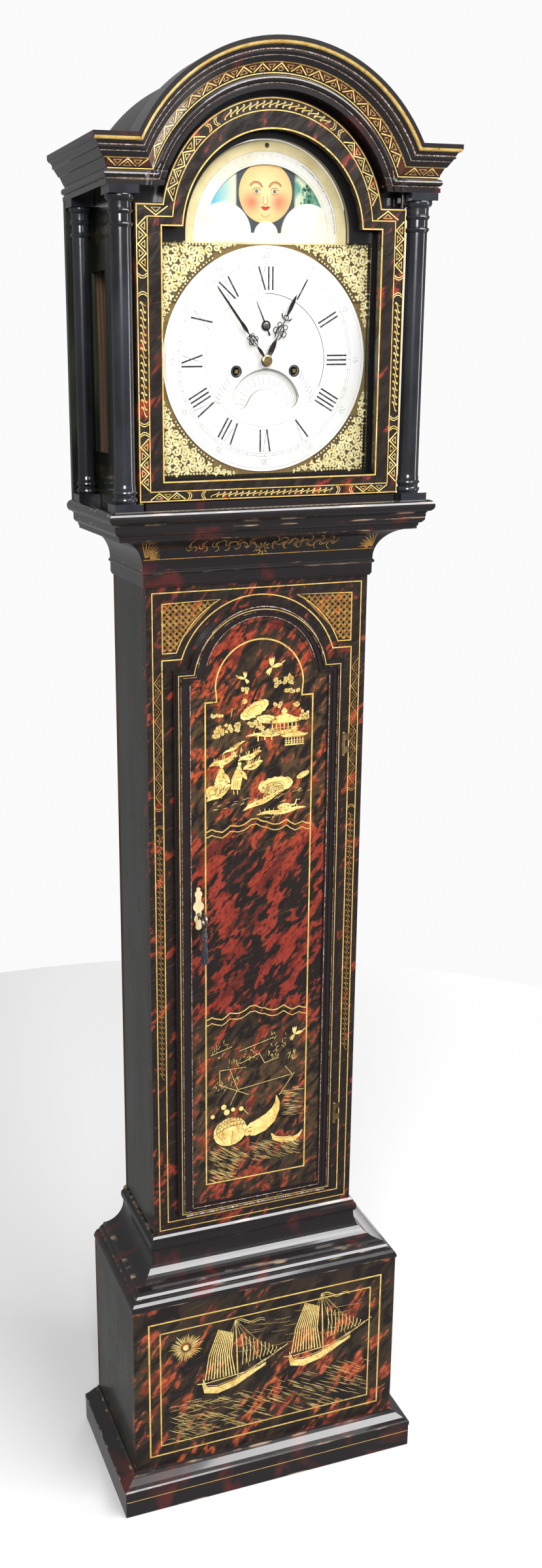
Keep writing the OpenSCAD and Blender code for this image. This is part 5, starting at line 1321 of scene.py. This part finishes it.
def gut_line(name, node):
    """A round line along the middle of the CAD one, with points every
    centimetre."""
    low, high = np.array(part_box(node))
    r = (high[1] - low[1]) / 2
    middle = (low + high) / 2
    falls = [low[0] + r, high[0] - r] if high[0] - low[0] > 4 * r else [middle[0]]
    z = np.linspace(low[2], high[2], 60)
    turn = np.linspace(0, 2 * pi, 12, endpoint=False)
    points, faces = [], []
    for x in falls:
        ring = np.stack([x + r * np.cos(turn), middle[1] + r * np.sin(turn), 0 * turn], 1)
        tube = ring[None] + z[:, None, None] * np.array([0, 0, 1.0])
        index = len(points) + np.arange(60 * 12).reshape(60, 12)
        points += tube.reshape(-1, 3).tolist()
        step = np.roll(index, -1, 1)
        faces += np.stack([index[:-1], step[:-1], step[1:], index[1:]], -1).reshape(-1, 4).tolist()
        faces += [index[0, ::-1].tolist(), index[-1].tolist()]
    piece = surface(name, points, faces, None, gut.material, True)
    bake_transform(piece)
    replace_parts(piece, node)


gut_line("gut_line_going", "line_going")
gut_line("gut_line_striking", "line_striking")

# ----------------------------------------------------------------- hardware
# Brown brass butt hinges, a steel lock let into the door, a pale brass plate
# round the keyhole, and an iron key left in it.
worn_brass = metal("worn_brass", (0.34, 0.22, 0.10), (0.12, 0.07, 0.03), 0.36, metallic=0.7)
worn_brass.on("trunk_hinge_fixed", "trunk_hinge_moving")
pale_brass = metal("pale_brass", (0.96, 0.82, 0.50), (0.70, 0.52, 0.24), 0.3, 120.0, 0.3)
pale_brass.on("escutcheon")
lock_steel = metal("lock_steel", (0.36, 0.34, 0.32), (0.12, 0.09, 0.07), 0.4)
lock_steel.on("lock_case", "lock_bolt", "key")

# ------------------------------------------------------------------- tassel
# A silk tassel on a doubled cord hangs from the key's bow: a bound head over a
# netted ball, and a skirt of loose dark blue threads.
silk = Finish("dark_silk", Roughness=0.55, Sheen_Weight=0.4)
silk.give("Base Color", silk.blend(silk.cloud(500.0, 3.0, silk.stretched((1.0, 1.0, 0.1))),
                                   (0.006, 0.007, 0.013), (0.020, 0.024, 0.042)))
tassel_low, tassel_high = (np.array(corner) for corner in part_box("key_tassel"))
tassel_x, tassel_y = (tassel_low[0] + tassel_high[0]) / 2, (tassel_low[1] + tassel_high[1]) / 2
tassel_r = (tassel_high[1] - tassel_low[1]) / 2
drop = tassel_high[2] - tassel_low[2]


def threads(name, lines, r, sides=6):
    """Round threads along paths (threads, points, 3), swept on a ring that
    keeps level, which suits threads that hang."""
    lines = np.asarray(lines, float)
    turn = np.linspace(0, 2 * pi, sides, endpoint=False)
    ring = np.stack([r * np.cos(turn), r * np.sin(turn), 0 * turn], 1)
    points = lines[:, :, None] + ring
    count, long = lines.shape[:2]
    index = np.arange(count * long * sides).reshape(count, long, sides)
    step = np.roll(index, -1, 2)
    faces = np.stack([index[:, 1:], step[:, 1:], step[:, :-1], index[:, :-1]], -1).reshape(-1, 4)
    return surface(name, points.reshape(-1, 3), faces, "tassel", silk.material, True)


hang = np.linspace(0, 1, 16)
skirt = []
for _ in range(170):
    spin, share = random.uniform(0, 2 * pi), np.sqrt(random.uniform(0.02, 1))
    wave = 0.0004 * np.sin(hang * 9 + random.uniform(0, 6))
    out = (0.30 + 0.62 * hang ** 0.7) * tassel_r * share + wave
    skirt.append(np.stack([tassel_x + out * np.cos(spin), tassel_y + out * np.sin(spin),
                           tassel_high[2] - drop * (0.42 + (0.575 - 0.04 * random.uniform()) * hang)], 1))
skirt_piece = threads("tassel_skirt", skirt, 0.0004)
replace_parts(skirt_piece, "key_tassel")
t = np.linspace(0, 1, 10)
cords = [np.stack([tassel_x + side * (0.0032 - 0.0026 * t), tassel_y + 0 * t,
                   tassel_high[2] - 0.0012 - drop * 0.16 * t], 1) for side in (-1, 1)]
threads("tassel_loop", cords, 0.0008, 8)
level = np.linspace(0, 1, 25)
profile = tassel_r * np.interp(level, [0, 0.06, 0.2, 0.36, 0.5, 0.62, 0.72, 0.86, 1.0],
                               [0.10, 0.34, 0.46, 0.30, 0.62, 0.74, 0.60, 0.36, 0.42])
turn = np.linspace(0, 2 * pi, 48, endpoint=False)
net = 1 + 0.05 * np.sin(turn * 12)[None] * np.sin(level * 40)[:, None]
round_r = profile[:, None] * net
body = np.stack([tassel_x + round_r * np.cos(turn), tassel_y + round_r * np.sin(turn),
                 (tassel_high[2] - drop * (0.13 + 0.31 * level))[:, None] + 0 * turn], -1)
index = np.arange(25 * 48).reshape(25, 48)
step = np.roll(index, -1, 1)
rows = np.stack([index[1:], step[1:], step[:-1], index[:-1]], -1).reshape(-1, 4).tolist()
surface("tassel_head", body.reshape(-1, 3), rows + [index[0].tolist(), index[-1, ::-1].tolist()],
        "tassel", silk.material, True)

# -------------------------------------------------------------------- stage
# A plain pale floor before a white backdrop, lit by large soft panels from the
# left, the front and above, as such cases are shown.
white = Finish("studio_white", Base_Color=(0.75, 0.75, 0.75, 1), Roughness=0.9,
               Emission_Color=(1, 1, 1, 1), Emission_Strength=0.16)
turn = np.linspace(0, 2 * pi, 96, endpoint=False)
FLOOR_R = 2.1
floor = surface("floor", np.stack([FLOOR_R * np.cos(turn), FLOOR_R * np.sin(turn), 0 * turn - 0.001], 1),
                [list(range(96))], None, white.material)
floor.visible_glossy = False
world = bpy.data.worlds.new("studio")
world.use_nodes = True
backdrop = world.node_tree.nodes["Background"]
backdrop.inputs[0].default_value = (1.0, 1.0, 1.0, 1)
seen = world.node_tree.nodes.new("ShaderNodeLightPath").outputs["Is Camera Ray"]
strength = world.node_tree.nodes.new("ShaderNodeMapRange")
strength.inputs["To Min"].default_value, strength.inputs["To Max"].default_value = 0.22, 0.96
world.node_tree.links.new(seen, strength.inputs["Value"])
world.node_tree.links.new(strength.outputs[0], backdrop.inputs[1])
bpy.context.scene.world = world
bpy.context.scene.view_settings.view_transform = "Standard"


def panel(name, spot, target, size, power):
    """A soft rectangular lamp at spot whose face is turned to the target."""
    light = bpy.data.lights.new(name, "AREA")
    light.shape, light.size, light.size_y, light.energy = "RECTANGLE", size[0], size[1], power
    lamp = bpy.data.objects.new(name, light)
    back = np.array(spot, float) - np.array(target, float)
    back /= np.linalg.norm(back)
    side = np.cross((0, 0, 1), back)
    side /= np.linalg.norm(side)
    lamp.matrix_world = Matrix([[*row, place] for row, place in
                                zip(np.stack([side, np.cross(back, side), back], 1), spot)] + [[0, 0, 0, 1]])
    bpy.context.scene.collection.objects.link(lamp)


panel("key", (-1.2, -2.7, 2.8), (0, 0, 1.2), (1.0, 1.2), 85)
panel("sky", (1.5, -2.3, 4.2), (0, 0, 0.9), (3.2, 2.2), 190)
panel("edge", (3.0, -1.6, 1.2), (0, 0, 0.9), (0.4, 2.4), 25)
panel("back", (1.6, 2.6, 1.4), (0, 0, 1.0), (1.6, 2.0), 22)

# ------------------------------------------------------------------- camera
# The viewer stands a little to the left, about two metres off at the height of
# the dial, and the lens takes in the whole clock.
lens = bpy.data.cameras.new("camera")
lens.lens, lens.shift_x, lens.sensor_width = 32.667, 0.0668, 36
camera = bpy.data.objects.new("camera", lens)
camera.matrix_world = Matrix(((0.94874, 0.09938, -0.30004, -0.77788), (-0.31590, 0.26698, -0.91046, -1.95399),
                              (-0.01037, 0.95857, 0.28469, 1.82441), (0, 0, 0, 1)))
bpy.context.scene.collection.objects.link(camera)
bpy.context.scene.camera = camera
